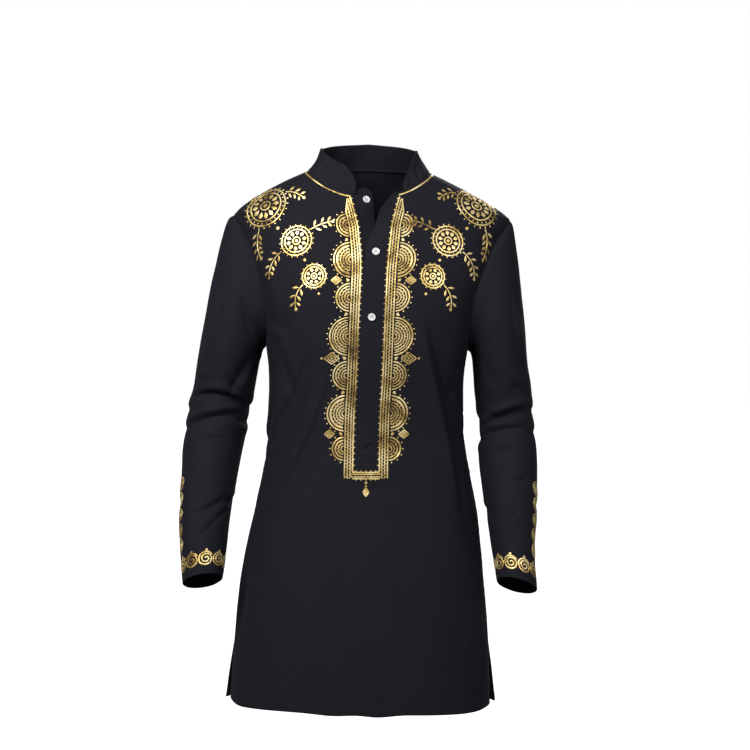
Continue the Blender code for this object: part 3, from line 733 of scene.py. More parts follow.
# ------------------------------------------------------------------ sleeves
# Two set-in tubes, each sewn round its armhole, bent forwards at the elbow, with a turned-up cuff. The
# wearer's left arm hangs straighter, so their outlines and creases differ.
CAP_SECTIONS = 6  # sections over which a sleeve leaves the armhole's own outline
SLEEVE_RINGS = 260
SLEEVES = [
    # out_x, out_z, in_x, in_z of the right arm, the same of the left arm, ahead, half_depth, tip
    (-0.2285, -0.0770, -0.1730, -0.3000, 0.2425, -0.0820, 0.1690, -0.3030, 0.008, 0.064, 0),
    (-0.2390, -0.0860, -0.1775, -0.3025, 0.2470, -0.0920, 0.1735, -0.3055, 0.009, 0.067, 0),
    (-0.2490, -0.1150, -0.1795, -0.3060, 0.2510, -0.1180, 0.1750, -0.3080, 0.010, 0.070, 0),
    (-0.2593, -0.1575, -0.1805, -0.3093, 0.2560, -0.1585, 0.1758, -0.3105, 0.010, 0.073, 0),
    (-0.2696, -0.2035, -0.1815, -0.3144, 0.2605, -0.2035, 0.1766, -0.3140, 0.011, 0.075, 0),
    (-0.2799, -0.2598, -0.1840, -0.3212, 0.2663, -0.2598, 0.1778, -0.3200, 0.012, 0.075, 0),
    (-0.2894, -0.3144, -0.1887, -0.3451, 0.2715, -0.3212, 0.1795, -0.3400, 0.014, 0.073, 0),
    (-0.2973, -0.3622, -0.1948, -0.3741, 0.2785, -0.3622, 0.1815, -0.3707, 0.017, 0.070, 2),
    (-0.3077, -0.4032, -0.2017, -0.4015, 0.2821, -0.4032, 0.1864, -0.4032, 0.019, 0.066, 7),
    (-0.3121, -0.4440, -0.2081, -0.4406, 0.2848, -0.4440, 0.1902, -0.4389, 0.012, 0.064, 14),
    (-0.3160, -0.4844, -0.2158, -0.4827, 0.2871, -0.4844, 0.1890, -0.4844, -0.001, 0.062, 20),
    (-0.3158, -0.5309, -0.2237, -0.5309, 0.2854, -0.5309, 0.1925, -0.5309, -0.020, 0.057, 22),
    (-0.3153, -0.5799, -0.2315, -0.5816, 0.2835, -0.5799, 0.1996, -0.5816, -0.040, 0.052, 22),
    (-0.3115, -0.6283, -0.2357, -0.6283, 0.2782, -0.6283, 0.2051, -0.6283, -0.060, 0.047, 22),
    (-0.3085, -0.6619, -0.2380, -0.6569, 0.2775, -0.6652, 0.2106, -0.6619, -0.073, 0.044, 22),
    (-0.3056, -0.6903, -0.2403, -0.6788, 0.2792, -0.7002, 0.2131, -0.6837, -0.085, 0.041, 22),
]
ARM_CREASES = {
    # each as in CREASES
    "sleeve_right": {
        "front": [
            (-290, -396, -256, -395, -218, -402, 6, -1.4, 0.4),
            (-300, -350, -272, -352, -246, -362, 8, 1.6, 0.5),
            (-315, -394, -260, -376, -194, -402, 8, 7.8, 0.8),
            (-322, -438, -262, -414.5, -180, -409, 7.5, 8, 0.8),
            (-236, -380, -212, -345, -186, -300, 11, 6.8, -0.7),
            (-292, -462, -262, -452, -226, -450, 10, 2.1, 0.5),
            (-296, -336, -282, -352, -268, -364, 7, 3.4, 0.6),
            (-232, -352, -220, -366, -206, -376, 6, 2.6, 0.6),
            (-292, -575, -262, -564, -236, -545, 7, 3.6, 0.8),
            (-280, -610, -262, -596, -246, -574, 7, 2.6, 0.7),
            (-252, -582, -240, -575, -229, -566, 7, 2.7, 0.6),
            (-250, -200, -262, -268, -280, -340, 6, -4.2, 0.5),
            (-212, -205, -200, -255, -184, -296, 11, 7.5, 0.6),
        ],
        "back": [
            (-300, -392, -256, -406, -214, -398, 12, 4.8, 0.6),
            (-296, -440, -258, -446, -222, -452, 12, 4.2, -0.6),
            (-270, -200, -240, -260, -200, -296, 14, 5.4, 0.6),
            (-300, -560, -272, -548, -240, -556, 10, 3, 0.6),
        ],
        "right": [
            (-40, -392, 16, -404, 60, -396, 10, 2.8, 0.7),
            (-48, -436, 6, -436, 50, -448, 9, 2.4, 0.6),
            (-60, -566, -30, -556, 4, -560, 9, 2.4, 0.6),
        ],
        "left": [
            (-30, -392, 10, -402, 56, -380, 9, 4.5, 0.7),
            (-40, -418, 4, -426, 50, -420, 9, 4.1, -0.7),
            (-70, -548, -40, -556, -6, -546, 8, 3.6, 0.7),
        ],
    },
    "sleeve_left": {
        "front": [
            (206, -428, 236, -420, 268, -420, 6, -1.4, 0.4),
            (236, -366, 256, -362, 272, -350, 8, 1.6, 0.5),
            (184, -439, 230, -411, 296, -397, 7.8, 10.2, 0.8),
            (172, -458, 214, -438, 264, -435, 7.8, 7.8, 0.7),
            (232, -378, 206, -350, 186, -316, 10, 1.6, 0.6),
            (240, -352, 252, -368, 272, -376, 7, 3, 0.6),
            (190, -396, 204, -410, 222, -414, 6, 2.4, 0.6),
            (222, -590, 238, -578, 256, -564, 7, 3.6, -0.8),
            (206, -606, 222, -588, 232, -560, 7, 2.6, -0.7),
            (246, -524, 256, -518, 268, -510, 7, 2.7, 0.6),
            (240, -200, 255, -280, 267, -338, 6, -5, -0.5),
            (196, -226, 188, -260, 178, -292, 10, 4.5, 0.6),
            (200, -476, 226, -470, 262, -478, 10, 2.1, 0.5),
        ],
        "back": [
            (270, -396, 236, -410, 194, -402, 12, 4.8, 0.6),
            (268, -444, 232, -452, 198, -456, 12, 4.2, -0.6),
            (254, -206, 226, -262, 190, -298, 14, 5.4, 0.6),
            (272, -566, 240, -552, 206, -560, 10, 3, 0.6),
        ],
        "left": [
            (-40, -396, 16, -406, 60, -400, 10, 2.8, 0.7),
            (-48, -446, 6, -442, 50, -452, 9, 2.4, 0.6),
            (-66, -572, -34, -562, 4, -566, 9, 2.4, 0.6),
        ],
        "right": [
            (-30, -432, 10, -424, 56, -396, 9, 4.5, 0.7),
            (-40, -452, 4, -456, 50, -446, 9, 4.1, -0.7),
            (-70, -566, -40, -572, -6, -560, 8, 3.6, 0.7),
        ],
    },
}


def armhole_points(left):
    """Points round an armhole, down its front from the shoulder seam and up its back."""
    shares = np.arange(2 * ARM_ROWS) / ARM_ROWS
    heights = armhole_height(shares)
    turns = np.where(shares <= 1, edge_turn(heights, back=False), edge_turn(heights, back=True))
    return torso(heights, turns if left else -turns)


def sleeve_sections(left, at):
    """Points round the sections at these places along a sleeve, from the outermost by way of the front."""
    keyed = [(key, *(row[4:8] if left else row[:4]), *row[8:]) for key, row in enumerate(SLEEVES)]
    out_x, out_z, in_x, in_z, ahead, half_depth, tip = (v[:, None, None] for v in smooth(keyed, at))
    zero = np.zeros_like(ahead)
    middle = np.concatenate([(out_x + in_x) / 2, ahead, (out_z + in_z) / 2], axis=-1)
    outer_half = np.concatenate([(out_x - in_x) / 2, zero, (out_z - in_z) / 2], axis=-1)
    tipped = np.radians(tip)
    front_half = half_depth * np.concatenate([zero, -np.cos(tipped), np.sin(tipped)], axis=-1)
    angles = np.linspace(0, 2 * math.pi, 2 * ARM_ROWS, endpoint=False)[None, :, None]
    return middle + outer_half * np.cos(angles) + front_half * np.sin(angles)


for name, left in (("sleeve_right", False), ("sleeve_left", True)):
    at = closer_at_ends(SLEEVE_RINGS, 0.5) * (len(SLEEVES) - 1)
    to_armhole = armhole_points(left) - sleeve_sections(left, np.zeros(1))[0]
    stay = np.maximum(0.0, 1 - at / CAP_SECTIONS) ** 2
    rings = sleeve_sections(left, at) + stay[:, None, None] * to_armhole
    if not left:
        rings = rings[:, ::-1]
    beside = np.roll(rings, -1, axis=1) - np.roll(rings, 1, axis=1)
    out = unit(np.cross(beside, np.gradient(rings, axis=0)))
    from_armhole = run_lengths(rings, 0)
    from_cuff = from_armhole[-1] - from_armhole
    lift = waviness(rings) - crease_depth(rings, out, ARM_CREASES[name])
    lift *= 1 - swell(from_armhole, SEAM_FADE)
    lift += seam_dip(from_armhole, rings[:1]) + hem_dip(from_cuff, run_lengths(rings, 1))
    lift += 0.0014 * np.clip(out[..., 2] / 0.7, 0, 1) ** 2 * swell(from_armhole - 0.008, 0.008)
    points = rings + out * lift[..., None]
    points[0] += 0.0015 * unit(points[0] - points[1])  # tucked in under the panels' edges
    turned = (from_cuff < HEM_STITCHES + 0.001) | (from_armhole < SEAM_ALLOWANCE)
    wall(name, points, out, CLOTH + TURN_UP * turned, wrap=True)


# ------------------------------------------------------------------ collar
# A stiffened band round the neck, open at the front, with rounded front corners; the end with the
# buttonholes is lower. It leans in towards the neck, most at the sides, and is stitched at its edges.
COLLAR_CLOTH = 0.0022
COLLAR_HEIGHT = 0.046
COLLAR_ENDS = {"height": (0.018, 0.025), "slope": (0.050, 0.030), "bend": (1.5, 1.0)}  # left, right
COLLAR_CORNER = 0.009  # the radius of its front corners
COLLAR_START = 0.0610  # x of its end at the buttonholes
COLLAR_PAST = 0.004
COLLAR_COLUMNS = 150
COLLAR_ROWS = 16
COLLAR_HOLLOW = 0.0026  # how far its sides sink in half-way up
COLLAR_STITCHES = (0.0040, 0.0035)  # how far from its upper edge, and from its foot
STITCH_DENT = 0.0003
COLLAR_LEAN = [
    # turn from the middle of the front, lean
    (0, 6),
    (25, 8),
    (60, 24),
    (90, 31),
    (130, 24),
    (180, 16),
]
COLLAR_CREASES = {
    # each as in CREASES
    "front": [
        (-78, 10, -68, -4, -54, -18, 4.2, 3.4, 0.7),
        (-64, 10, -60, -2, -56, -10, 3.6, 2.6, -0.7),
        (-46, -4, -38, -12, -24, -24, 5, 2, 0.6),
        (82, 6, 85, -8, 88, -22, 4.2, 2.2, 0.6),
        (68, -4, 70, -16, 74, -30, 3.6, 1.9, -0.6),
    ],
    "right": [
        (-30, 38, -16, 26, 2, 8, 5, 1.9, 0.5),
    ],
    "left": [
        (-34, 36, -14, 24, 0, 6, 5, 1.9, -0.5),
    ],
    "back": [
        (-44, 46, -34, 34, -20, 16, 5, 1.7, 0.5),
        (50, 44, 38, 32, 30, 18, 5, 1.7, 0.5),
    ],
}


def resample(at, run, line):
    """The points of a line at these distances along it."""
    return np.column_stack([np.interp(at, run, line[:, axis]) for axis in range(line.shape[1])])


past = slit_edges(NECK_FRONT[0][1])[0] + COLLAR_PAST
ends = [torso(neckline(x), turn_at_x(neckline(x), x)) for x in (COLLAR_START, past)]
to_left = [p for p in front_base[-1][SLIT_END:] if p[0] > COLLAR_START + 0.001]
to_right = front_base[-1][: SIDE_COLUMNS + 1]
round_neck = np.array([ends[0], *to_left, *back_base[-1][1:-1], *to_right, ends[1]])
run = run_lengths(round_neck, 0)
places = closer_at_ends(COLLAR_COLUMNS) * run[-1]
collar_foot = resample(places, run, round_neck)
to_ends = places, run[-1] - places
on_left = places < run[-1] / 2
end_height, bend = (np.where(on_left, *COLLAR_ENDS[key]) for key in ("height", "bend"))
sloped = np.minimum(*(to_end / reach for to_end, reach in zip(to_ends, COLLAR_ENDS["slope"])))
neck_across, neck_ahead = smooth(TORSO, 0.0)[1:3]
inward = unit(np.array([neck_across, neck_ahead]) - collar_foot[:, :2])
turns = np.degrees(np.arctan2(np.abs(inward[:, 0]), inward[:, 1]))
heights = lerp(end_height, COLLAR_HEIGHT, np.sin(np.minimum(1, sloped) * math.pi / 2) ** bend)
heights -= 0.0016 * swell(turns - 78, 16) - 0.0010 * swell(turns - 112, 16)
heights -= COLLAR_CORNER * (1 - np.sqrt(1 - np.maximum(0.0, 1 - np.minimum(*to_ends) / COLLAR_CORNER) ** 2))
leans = np.radians(smooth(COLLAR_LEAN, turns)[0])
up = np.column_stack([inward * np.sin(leans)[:, None], np.cos(leans)])
share = closer_at_ends(COLLAR_ROWS, 0.5)[:, None, None]
base = collar_foot + up * heights[:, None] * share
base[..., :2] += inward * COLLAR_HOLLOW * np.sin(np.radians(turns))[:, None] ** 2 * np.sin(math.pi * share)
out = unit(np.cross(np.gradient(base, axis=1), np.gradient(base, axis=0)))
from_foot = run_lengths(base, 0)
lift = 0.7 * waviness(base) * np.clip(from_foot / 0.01, 0, 1)
ripple = np.sin(places / 0.017 + 2.2 * np.sin(places / 0.045))
lift += 0.0009 * ripple * np.sin(math.pi * share[..., 0]) ** 2
lift += seam_dip(from_foot, base[:1]) - crease_depth(base, out, COLLAR_CREASES)
lift -= STITCH_DENT * swell(from_foot[-1] - from_foot - COLLAR_STITCHES[0], 0.0012)
wall("collar", base + out * lift[..., None], out, COLLAR_CLOTH)


# ------------------------------------------------------------------ placket
# Two doubled strips of cloth sewn into the slit's edges. The buttons' strip, at the wearer's right, lies
# behind the one with the buttonholes, which is flush with the front. Above the second button they gape.
PLACKET_CLOTH = 0.0015
PLACKET_WIDTH = 0.0334
PLACKET_LEAN = 0.35  # run inwards for each metre up, above the neckline
PLACKET_GAP = 0.0003
BUTTON_COLUMNS, HOLE_COLUMNS = 18, 15
STRIP_STITCHES = 0.0025  # how far from the strips' long edges
BEHIND = 0.0020  # from the front's outer side to the buttons' strip
PLACKET_TOP_ROW = -0.0575  # the height at which the strips' free tops begin
FOLDED_UNDER = 0.20  # the share of the holes' strip whose free edge is bent out of sight
FOLDED_HEIGHT = -0.094
BUTTON_STRIP = [
    # share of the strip's width from its seam, height where its end begins, height of its top
    (-0.18, -0.0500, -0.0480),
    (0.02, -0.0490, -0.0460),
    (0.34, -0.0440, -0.0345),
    (0.62, -0.0440, -0.0325),
    (0.85, -0.0460, -0.0350),
    (1.00, -0.0500, -0.0410),
]
HOLE_STRIP = [
    # share of the strip's width from its seam, height where its end begins, height of its top
    (0.00, -0.0460, -0.0418),
    (0.34, -0.0450, -0.0396),
    (0.67, -0.0440, -0.0385),
    (1.00, -0.0455, -0.0425),
]
STRIP_CREASES = {
    # each as in CREASES
    "front": [
        (-12, -468, -2, -464, 10, -454, 3.6, 2.4, 0.8),
        (-10, -296, 2, -302, 16, -298, 8, 0.6, 0.5),
        (-6, -210, 6, -204, 20, -206, 8, 1, -0.5),
    ],
}


def slit_point(slit_edge, height):
    """Points of the slit's edge, which leans inwards above the neckline."""
    x, y = (np.interp(height, slit_edge[:, 2], slit_edge[:, axis]) for axis in (0, 1))
    return np.stack([x, y + PLACKET_LEAN * np.maximum(0.0, height - slit_edge[-1, 2]), height], axis=-1)


def strip_grid(buttons):
    """Outer points of a placket strip, [row, column], towards the wearer's left."""
    columns = (SIDE_COLUMNS, SLIT_END) if buttons else (SLIT_END, SIDE_COLUMNS)
    front_points = cloth["front"][1][FOOT_ROW:]
    own, other, beside = (front_points[:, column] for column in (*columns, SIDE_COLUMNS - 8))
    low = own[:, 2] < PLACKET_TOP_ROW
    table = np.array(BUTTON_STRIP if buttons else HOLE_STRIP)
    strip_inward = np.array([0, 1, 0])
    keys, count = (table[:, 0], BUTTON_COLUMNS) if buttons else (table[::-1, 0], HOLE_COLUMNS)
    grid = []
    for share in np.linspace(keys[0], keys[-1], count):
        _, last, top = resample([share], table[:, 0], table)[0]
        start = lerp(own[low, 2], other[low, 2], share)
        start[0] += PLACKET_GAP
        height = np.concatenate([start, np.linspace(start[-1], last, 4)[1:], np.linspace(last, top, 7)[1:]])
        seam = slit_point(own, height)
        sideways = unit(slit_point(other, height) - seam)
        button_turn, hole_turn = np.radians(smooth(PLACKET, height)[2:])[..., None]
        width = PLACKET_WIDTH
        if buttons:
            turn = button_turn if share > 0 else 0 * button_turn
            place = seam + strip_inward * BEHIND
        else:
            turn = hole_turn
            width = width * (1 - FOLDED_UNDER * swell(height - FOLDED_HEIGHT, 0.022))[:, None]
            place = seam + sideways * (PLACKET_GAP + 0.0022 * np.sin(turn))
        if share < 0:
            sideways = unit(seam - slit_point(beside, height))
        roll = turn * (0.82 + 0.18 * abs(share))
        grid.append(place + width * share * (sideways * np.cos(roll) + strip_inward * np.sin(roll)))
    return np.array(grid).transpose(1, 0, 2)


for name, buttons in (("placket_under", True), ("placket_over", False)):
    base = strip_grid(buttons)
    out = unit(np.cross(np.gradient(base, axis=1), np.gradient(base, axis=0)))
    lift = -crease_depth(base, out, STRIP_CREASES)
    lift -= STITCH_DENT * swell(from_sides(base) - STRIP_STITCHES, 0.001)
    wall(name, base + out * lift[..., None], out, PLACKET_CLOTH)


# ------------------------------------------------------------------ buttons
# Three white pearl-like buttons with a raised rim and four holes, each sewn on with white thread. The
# top one is open; the other two are through the holes of the strip that they show on.
BUTTON_RADIUS = 0.0063
BUTTON_THICKNESS = 0.0026
BUTTON_HOLE = 0.00075  # the radius of its holes
BUTTON_HOLE_OUT = 0.00150  # their distance from its middle lines
BUTTON_STEPS = 48
DRILL_STEPS = 16
SHARP = 38  # degrees between two faces that meet in an edge
THREAD_RADIUS = 0.00019
STRAND_GAP = 0.00034
DRILL_PROFILE = [(0, -1.0), (1, -1.0), (1, 1.5), (0, 1.5)]
BUTTON_PROFILE = [
    # radius and rise, in shares of the button's own
    (0.00, 0.02),
    (0.80, 0.02),
    (0.93, 0.10),
    (0.99, 0.30),
    (1.00, 0.52),
    (0.98, 0.76),
    (0.93, 0.93),
    (0.86, 1.00),
    (0.78, 0.97),
    (0.70, 0.84),
    (0.62, 0.72),
    (0.50, 0.68),
    (0.00, 0.66),
]

pearl, shader = new_material("white_pearl", Coat_Weight=0.5, Coat_Roughness=0.08, Specular_IOR_Level=0.55)
layers = speckle(object_place(pearl), 160.0, Detail=3.0, Roughness=0.5, Distortion=1.6)
tones = [(0.30, (0.55, 0.55, 0.57, 1)), (0.62, (0.78, 0.77, 0.75, 1))]
connect(
    shader,
    Base_Color=layers.node("ValToRGB", {"Fac": layers}, stops=tones),
    Roughness=layers * 0.14 + 0.16,
    Normal=rough(layers, 0.2, 0.0001),
)
white_thread, shader = new_material("white_thread", Roughness=0.75)
spot = object_place(white_thread)
twist = spot.node("TexWave", {"Vector": spot, "Scale": 900.0, "Distortion": 1.0})
connect(shader, Base_Color=mix_colours(twist, (0.20, 0.20, 0.20, 1), (0.45, 0.45, 0.44, 1)))


def renumbered(faces, first):
    return [tuple(first + v for v in face) for face in faces]


def turned_shape(profile, radius, rise, steps):
    """Vertices and faces of a closed turned shape whose profile starts and ends on its axis."""
    vertices, rings = [], []
    for out, up_share in profile:
        count = 1 if out == 0 else steps
        rings.append(range(len(vertices), len(vertices) + count))
        for n in range(count):
            angle, reach = 2 * math.pi * n / steps, radius * out
            vertices.append((reach * math.cos(angle), reach * math.sin(angle), rise * up_share))
    faces = []
    for low, high in zip(rings, rings[1:]):
        for n in range(steps):
            m = (n + 1) % steps
            loop = [low[n % len(low)], low[m % len(low)], high[m % len(high)], high[n % len(high)]]
            faces.append(tuple(dict.fromkeys(loop)))
    return vertices, faces


def tube(path, radius, sides=8):
    """Vertices and faces of a closed tube along a path."""
    path = np.array(path, float)
    along = unit(np.gradient(path, axis=0))
    aside = unit(np.cross(along, [0.31, 0.17, 0.93]))
    above = np.cross(along, aside)
    slim = np.where(np.isin(np.arange(len(path)), (0, len(path) - 1)), 0.55, 1.0)
    angles = 2 * math.pi * np.arange(sides)[:, None] / sides
    vertices = []
    for n in range(len(path)):
        ring = aside[n] * np.cos(angles) + above[n] * np.sin(angles)
        vertices += list(path[n] + radius * slim[n] * ring)
    faces = grid_cells(len(path), sides, wrap=True)
    faces.append(tuple(reversed(range(sides))))
    faces.append(tuple(range(len(vertices) - sides, len(vertices))))
    return vertices, faces


vertices, faces = turned_shape(BUTTON_PROFILE, BUTTON_RADIUS, BUTTON_THICKNESS, BUTTON_STEPS)
blank = add_mesh("blank", vertices, faces, pearl)
for number, (x, y) in enumerate((x, y) for x in (-1, 1) for y in (-1, 1)):
    vertices, faces = turned_shape(DRILL_PROFILE, BUTTON_HOLE, BUTTON_THICKNESS, DRILL_STEPS)
    aside = np.array([x * BUTTON_HOLE_OUT, y * BUTTON_HOLE_OUT, 0])
    hole = blank.modifiers.new("hole", "BOOLEAN")
    hole.object = add_mesh(f"drill_{number}", np.array(vertices) + aside, faces, pearl)
    hole.operation, hole.solver = "DIFFERENCE", "EXACT"
drilled = bpy.data.meshes.new_from_object(blank.evaluated_get(bpy.context.evaluated_depsgraph_get()))
for old in [hole.object for hole in blank.modifiers] + [blank]:
    bpy.data.objects.remove(old)
drilled.shade_smooth()
drilled.set_sharp_from_angle(angle=math.radians(SHARP))

thread_vertices, thread_faces = [], []
for x in (-1, 1):  # two bars of thread, three strands in each
    for strand in (-1, 0, 1):
        t = np.linspace(0, 1, 9)
        arch = BUTTON_THICKNESS * (0.15 + 0.78 * np.sin(math.pi * t) ** 0.35)
        aside = np.full(len(t), x * BUTTON_HOLE_OUT + strand * STRAND_GAP)
        more, loops = tube(np.column_stack([aside, lerp(-1, 1, t) * BUTTON_HOLE_OUT, arch]), THREAD_RADIUS)
        thread_faces += renumbered(loops, len(thread_vertices))
        thread_vertices += more

button_heights = []
for name in ("button_1", "button_2", "button_3"):
    solid = np.array([v.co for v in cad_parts[name].data.vertices])
    middle = (solid.max(axis=0) + solid.min(axis=0)) / 2
    facing = np.linalg.svd(solid - solid.mean(axis=0))[2][2]
    facing *= -np.sign(facing[1])
    turn = Vector(facing).to_track_quat("Z", "Y").to_matrix().to_4x4()
    turn.translation = Vector(middle - facing * BUTTON_THICKNESS / 2)
    button = add_object("pearl_" + name, drilled.copy())
    thread = add_mesh("thread_" + name, thread_vertices, thread_faces, white_thread)
    thread.data.shade_smooth()
    button.data.transform(turn)
    thread.data.transform(turn)
    settle(button, "white_button", name)
    settle(thread, "white_button")
    button_heights.append(turn.translation.z)


# ------------------------------------------------------------------ stitches
# Black lockstitches, a little glossier than the cloth. They hold the hem, the slits' edges and the
# cuffs, and run close to the edges of the collar and the placket. The buttonholes are worked densely.
STITCH_PITCH = 0.0030
STITCH = (0.0024, 0.00055, 0.00032)  # its length, width and rise
HOLE_PITCH = 0.00062
HOLE_STITCH = (0.00058, 0.0012, 0.00045)
HOLE_WIDTH = 0.0018  # from one worked edge to the other
HOLE_LENGTH = 0.0164
OPEN_HOLE_HEIGHT = -0.0560  # the top one, which its button has been taken out of
SLIT_STITCHES = 0.009  # how far from the slits' edges
STITCH_FACES = [(4, 0, 2), (4, 2, 1), (4, 1, 3), (4, 3, 0), (5, 2, 0), (5, 1, 2), (5, 3, 1), (5, 0, 3)]

black_thread, shader = new_material("black_thread", Roughness=0.60, Specular_IOR_Level=0.2)
strand = speckle(object_place(black_thread), 700.0)
connect(shader, Base_Color=mix_colours(strand, (0.008, 0.008, 0.010, 1), (0.022, 0.021, 0.027, 1)))

laid_on = {name: [] for name in cloth}  # the thin pieces on each piece of cloth


def line_at(points, out, distance, value, axis):
    """The line along a grid of points where that distance has that value, and its directions."""
    if axis == 0:
        points, out, distance = (np.swapaxes(grid, 0, 1) for grid in (points, out, distance))
    place, facing = [], []
    for spots, ways, keys in zip(points, out, distance):
        if keys[0] > keys[-1]:
            spots, ways, keys = spots[::-1], ways[::-1], keys[::-1]
        place.append(resample([value], keys, spots)[0])
        facing.append(resample([value], keys, ways)[0])
    return np.array(place), unit(np.array(facing))


def stitch(name, piece_name, lines, pitch=STITCH_PITCH, shape=STITCH):
    """Stitches along lines of points, each with its outward directions, on a piece of cloth."""
    length, width, rise = shape
    vertices, faces = [], []
    for points, out in lines:
        run = run_lengths(points, 0)
        places = np.arange(pitch / 2, run[-1], pitch)
        middle, facing = resample(places, run, points), unit(resample(places, run, out))
        along = unit(resample(places + 0.0005, run, points) - middle)
        for place, t, n, b in zip(middle, along, facing, np.cross(facing, along)):
            faces += renumbered(STITCH_FACES, len(vertices))
            vertices += [place - t * length / 2 - n * 0.0001, place + t * length / 2 - n * 0.0001]
            vertices += [place + b * width / 2, place - b * width / 2, place + n * rise, place - n * 0.0002]
    piece = add_mesh(name, vertices, faces, black_thread)
    settle(piece, "black_cloth")
    laid_on[piece_name].append(piece)


def beside_last_row(name, wrap=False):
    """Places are (distance along the last row of a grid, distance from it on the cloth). Also gives the
    length of that row."""
    points, out = cloth[name][1:]
    if wrap:
        points, out = (np.concatenate([grid, grid[:, :1]], axis=1) for grid in (points, out))
    along = run_lengths(points[-1:], 1)[0]
    run = run_lengths(points, 0)
    from_last = (run[-1] - run)[::-1]
    grids = np.dstack([points, out])[::-1]

    def place_on(places):
        spots = []
        for s, t in places:
            column = np.interp(s % along[-1] if wrap else s, along, np.arange(len(along)))
            low = min(int(column), len(along) - 2)
            pair = []
            for k in (low, low + 1):
                row = np.interp(t, from_last[:, k], np.arange(len(from_last)))
                base = min(int(row), len(from_last) - 2)
                pair.append(lerp(grids[base, k], grids[base + 1, k], row - base))
            spots.append(lerp(*pair, column - low))
        return np.array(spots)[:, :3], unit(np.array(spots)[:, 3:])

    return place_on, along[-1]


panel_rows = row_heights()
slit_rows = np.flatnonzero(panel_rows < SLIT_HEIGHT + 0.004)
for name in ("front", "back"):
    _, points, out = cloth[name]
    lines = [line_at(points[:14], out[:14], run_lengths(points[:14], 0), HEM_STITCHES, 0)]
    low = [grid[slit_rows] for grid in (points, out, from_sides(points))]
    half_way = points.shape[1] // 2
    for side in (slice(0, half_way), slice(half_way, None)):
        lines.append(line_at(*(grid[:, side] for grid in low), SLIT_STITCHES, 1))
    stitch("stitches_" + name, name, lines)
for name in ("sleeve_right", "sleeve_left"):
    _, points, out = cloth[name]
    run = run_lengths(points, 0)
    cuff = line_at(points, out, run - run[-1] + HEM_STITCHES, 0.0, 0)
    stitch("stitches_" + name, name, [[np.vstack([line, line[:1]]) for line in cuff]])
_, points, out = cloth["collar"]
run = run_lengths(points, 0)
above, below = COLLAR_STITCHES
lines = [line_at(points, out, run - run[-1] + above, 0.0, 0), line_at(points, out, run, below, 0)]
stitch("stitches_collar", "collar", lines)
for name in ("placket_under", "placket_over"):
    _, points, out = cloth[name]
    lines = [(points[2:-1, n], out[2:-1, n]) for n in (1, -2)]
    if name == "placket_over":
        lines += [(points[n, 1:-1], out[n, 1:-1]) for n in (1, 6)]
    stitch("stitches_" + name, name, lines)

place_on, across_strip = beside_last_row("placket_over")
over_points = cloth["placket_over"][1]
middle_column = over_points[:, over_points.shape[1] // 2]
run = run_lengths(over_points, 0)[:, over_points.shape[1] // 2]
turns = np.linspace(0, 2 * math.pi, 61)
holes = []
for height in (OPEN_HOLE_HEIGHT, *button_heights[1:]):
    down = np.interp(-height, -middle_column[::-1, 2], (run[-1] - run)[::-1])
    ends = np.where(np.sin(turns) >= 0, 1, -1) * (HOLE_LENGTH - HOLE_WIDTH) / 2
    x = across_strip / 2 + HOLE_WIDTH / 2 * np.cos(turns)
    holes.append(place_on(np.column_stack([x, down + ends + HOLE_WIDTH / 2 * np.sin(turns)])))
stitch("buttonholes", "placket_over", holes, HOLE_PITCH, HOLE_STITCH)


# ------------------------------------------------------------------ gold on the front
# Gold foil, pressed on in a thin raised film: a toothed line and scallops of dotted foil beside the
# placket, rosettes and sprigs from there over the shoulders, and a bar with a pendant at the foot.
FOIL_LINE = 0.0028  # the usual width of a line, and some others
BORDER_LINE, BAR_LINE, THIN_LINE, FINE_LINE = 0.0026, 0.0024, 0.0022, 0.0018
FOIL_SINK = -0.00010  # how far the film reaches into the cloth, and stands above it at its edge and middle
FOIL_EDGE = 0.00022
FOIL_TOP = 0.00042
FOIL_STEP = 0.0019  # from one cross-section of a line to the next
BLOB_STEP = 0.0045  # from one ring of a filled shape to the next
FOIL_ACROSS = [(1, FOIL_SINK), (0.86, FOIL_EDGE), (0, FOIL_TOP), (-0.86, FOIL_EDGE), (-1, FOIL_SINK)]
DOT_ROWS = 0.0045  # from one row of dots to the next
DOT_PITCH = 0.0053
DOT_HALF_LENGTH = 0.00105
DOT_RADIUS = 0.00138
BAND = (0.0068, 0.0190)  # how far out from the placket's slit the dotted band starts and ends
BAND_TOP, BAND_FOOT = -0.0520, -0.5040
BAR_FOOT = -0.5155
TOOTH_PITCH = 0.0098
TOOTH_LINE = 0.0050  # how far out from the slit
TOOTH = [(0.0046, -0.0017), (0.0046, 0.0017), (0.0006, 0)]  # its corners: how far out, and up
SCALLOPS = [0.020, 0.030, 0.024, 0.032, 0.024, 0.030, 0.020]  # their radii, downwards
SCALLOP_TOP = -0.078
SCALLOP_GAP = 0.008
SCALLOP_RIM = 0.0066  # from its edge to its dotted film
SCALLOP_STEPS = (0.0024, 0.0026)  # of the film's grid, round it and out from its middle
SCALLOP_BEADS = (0.0030, 0.00115, 0.0085)  # how far past its edge, their radius and their pitch
DIAMONDS = {
    # number of the scallop above it: how far out from the band, half its width and height, its line
    1: (0.0250, 0.0085, 0.0070, 0.0018),
    3: (0.0270, 0.0125, 0.0095, 0.0020),
    5: (0.0250, 0.0085, 0.0070, 0.0018),
}
BACKWARDS, DOWNWARDS = (0, 1, 0), (0, 0, -1)
BEFORE, OVERHEAD = -0.4, 0.3  # the y and the height from which the print is laid
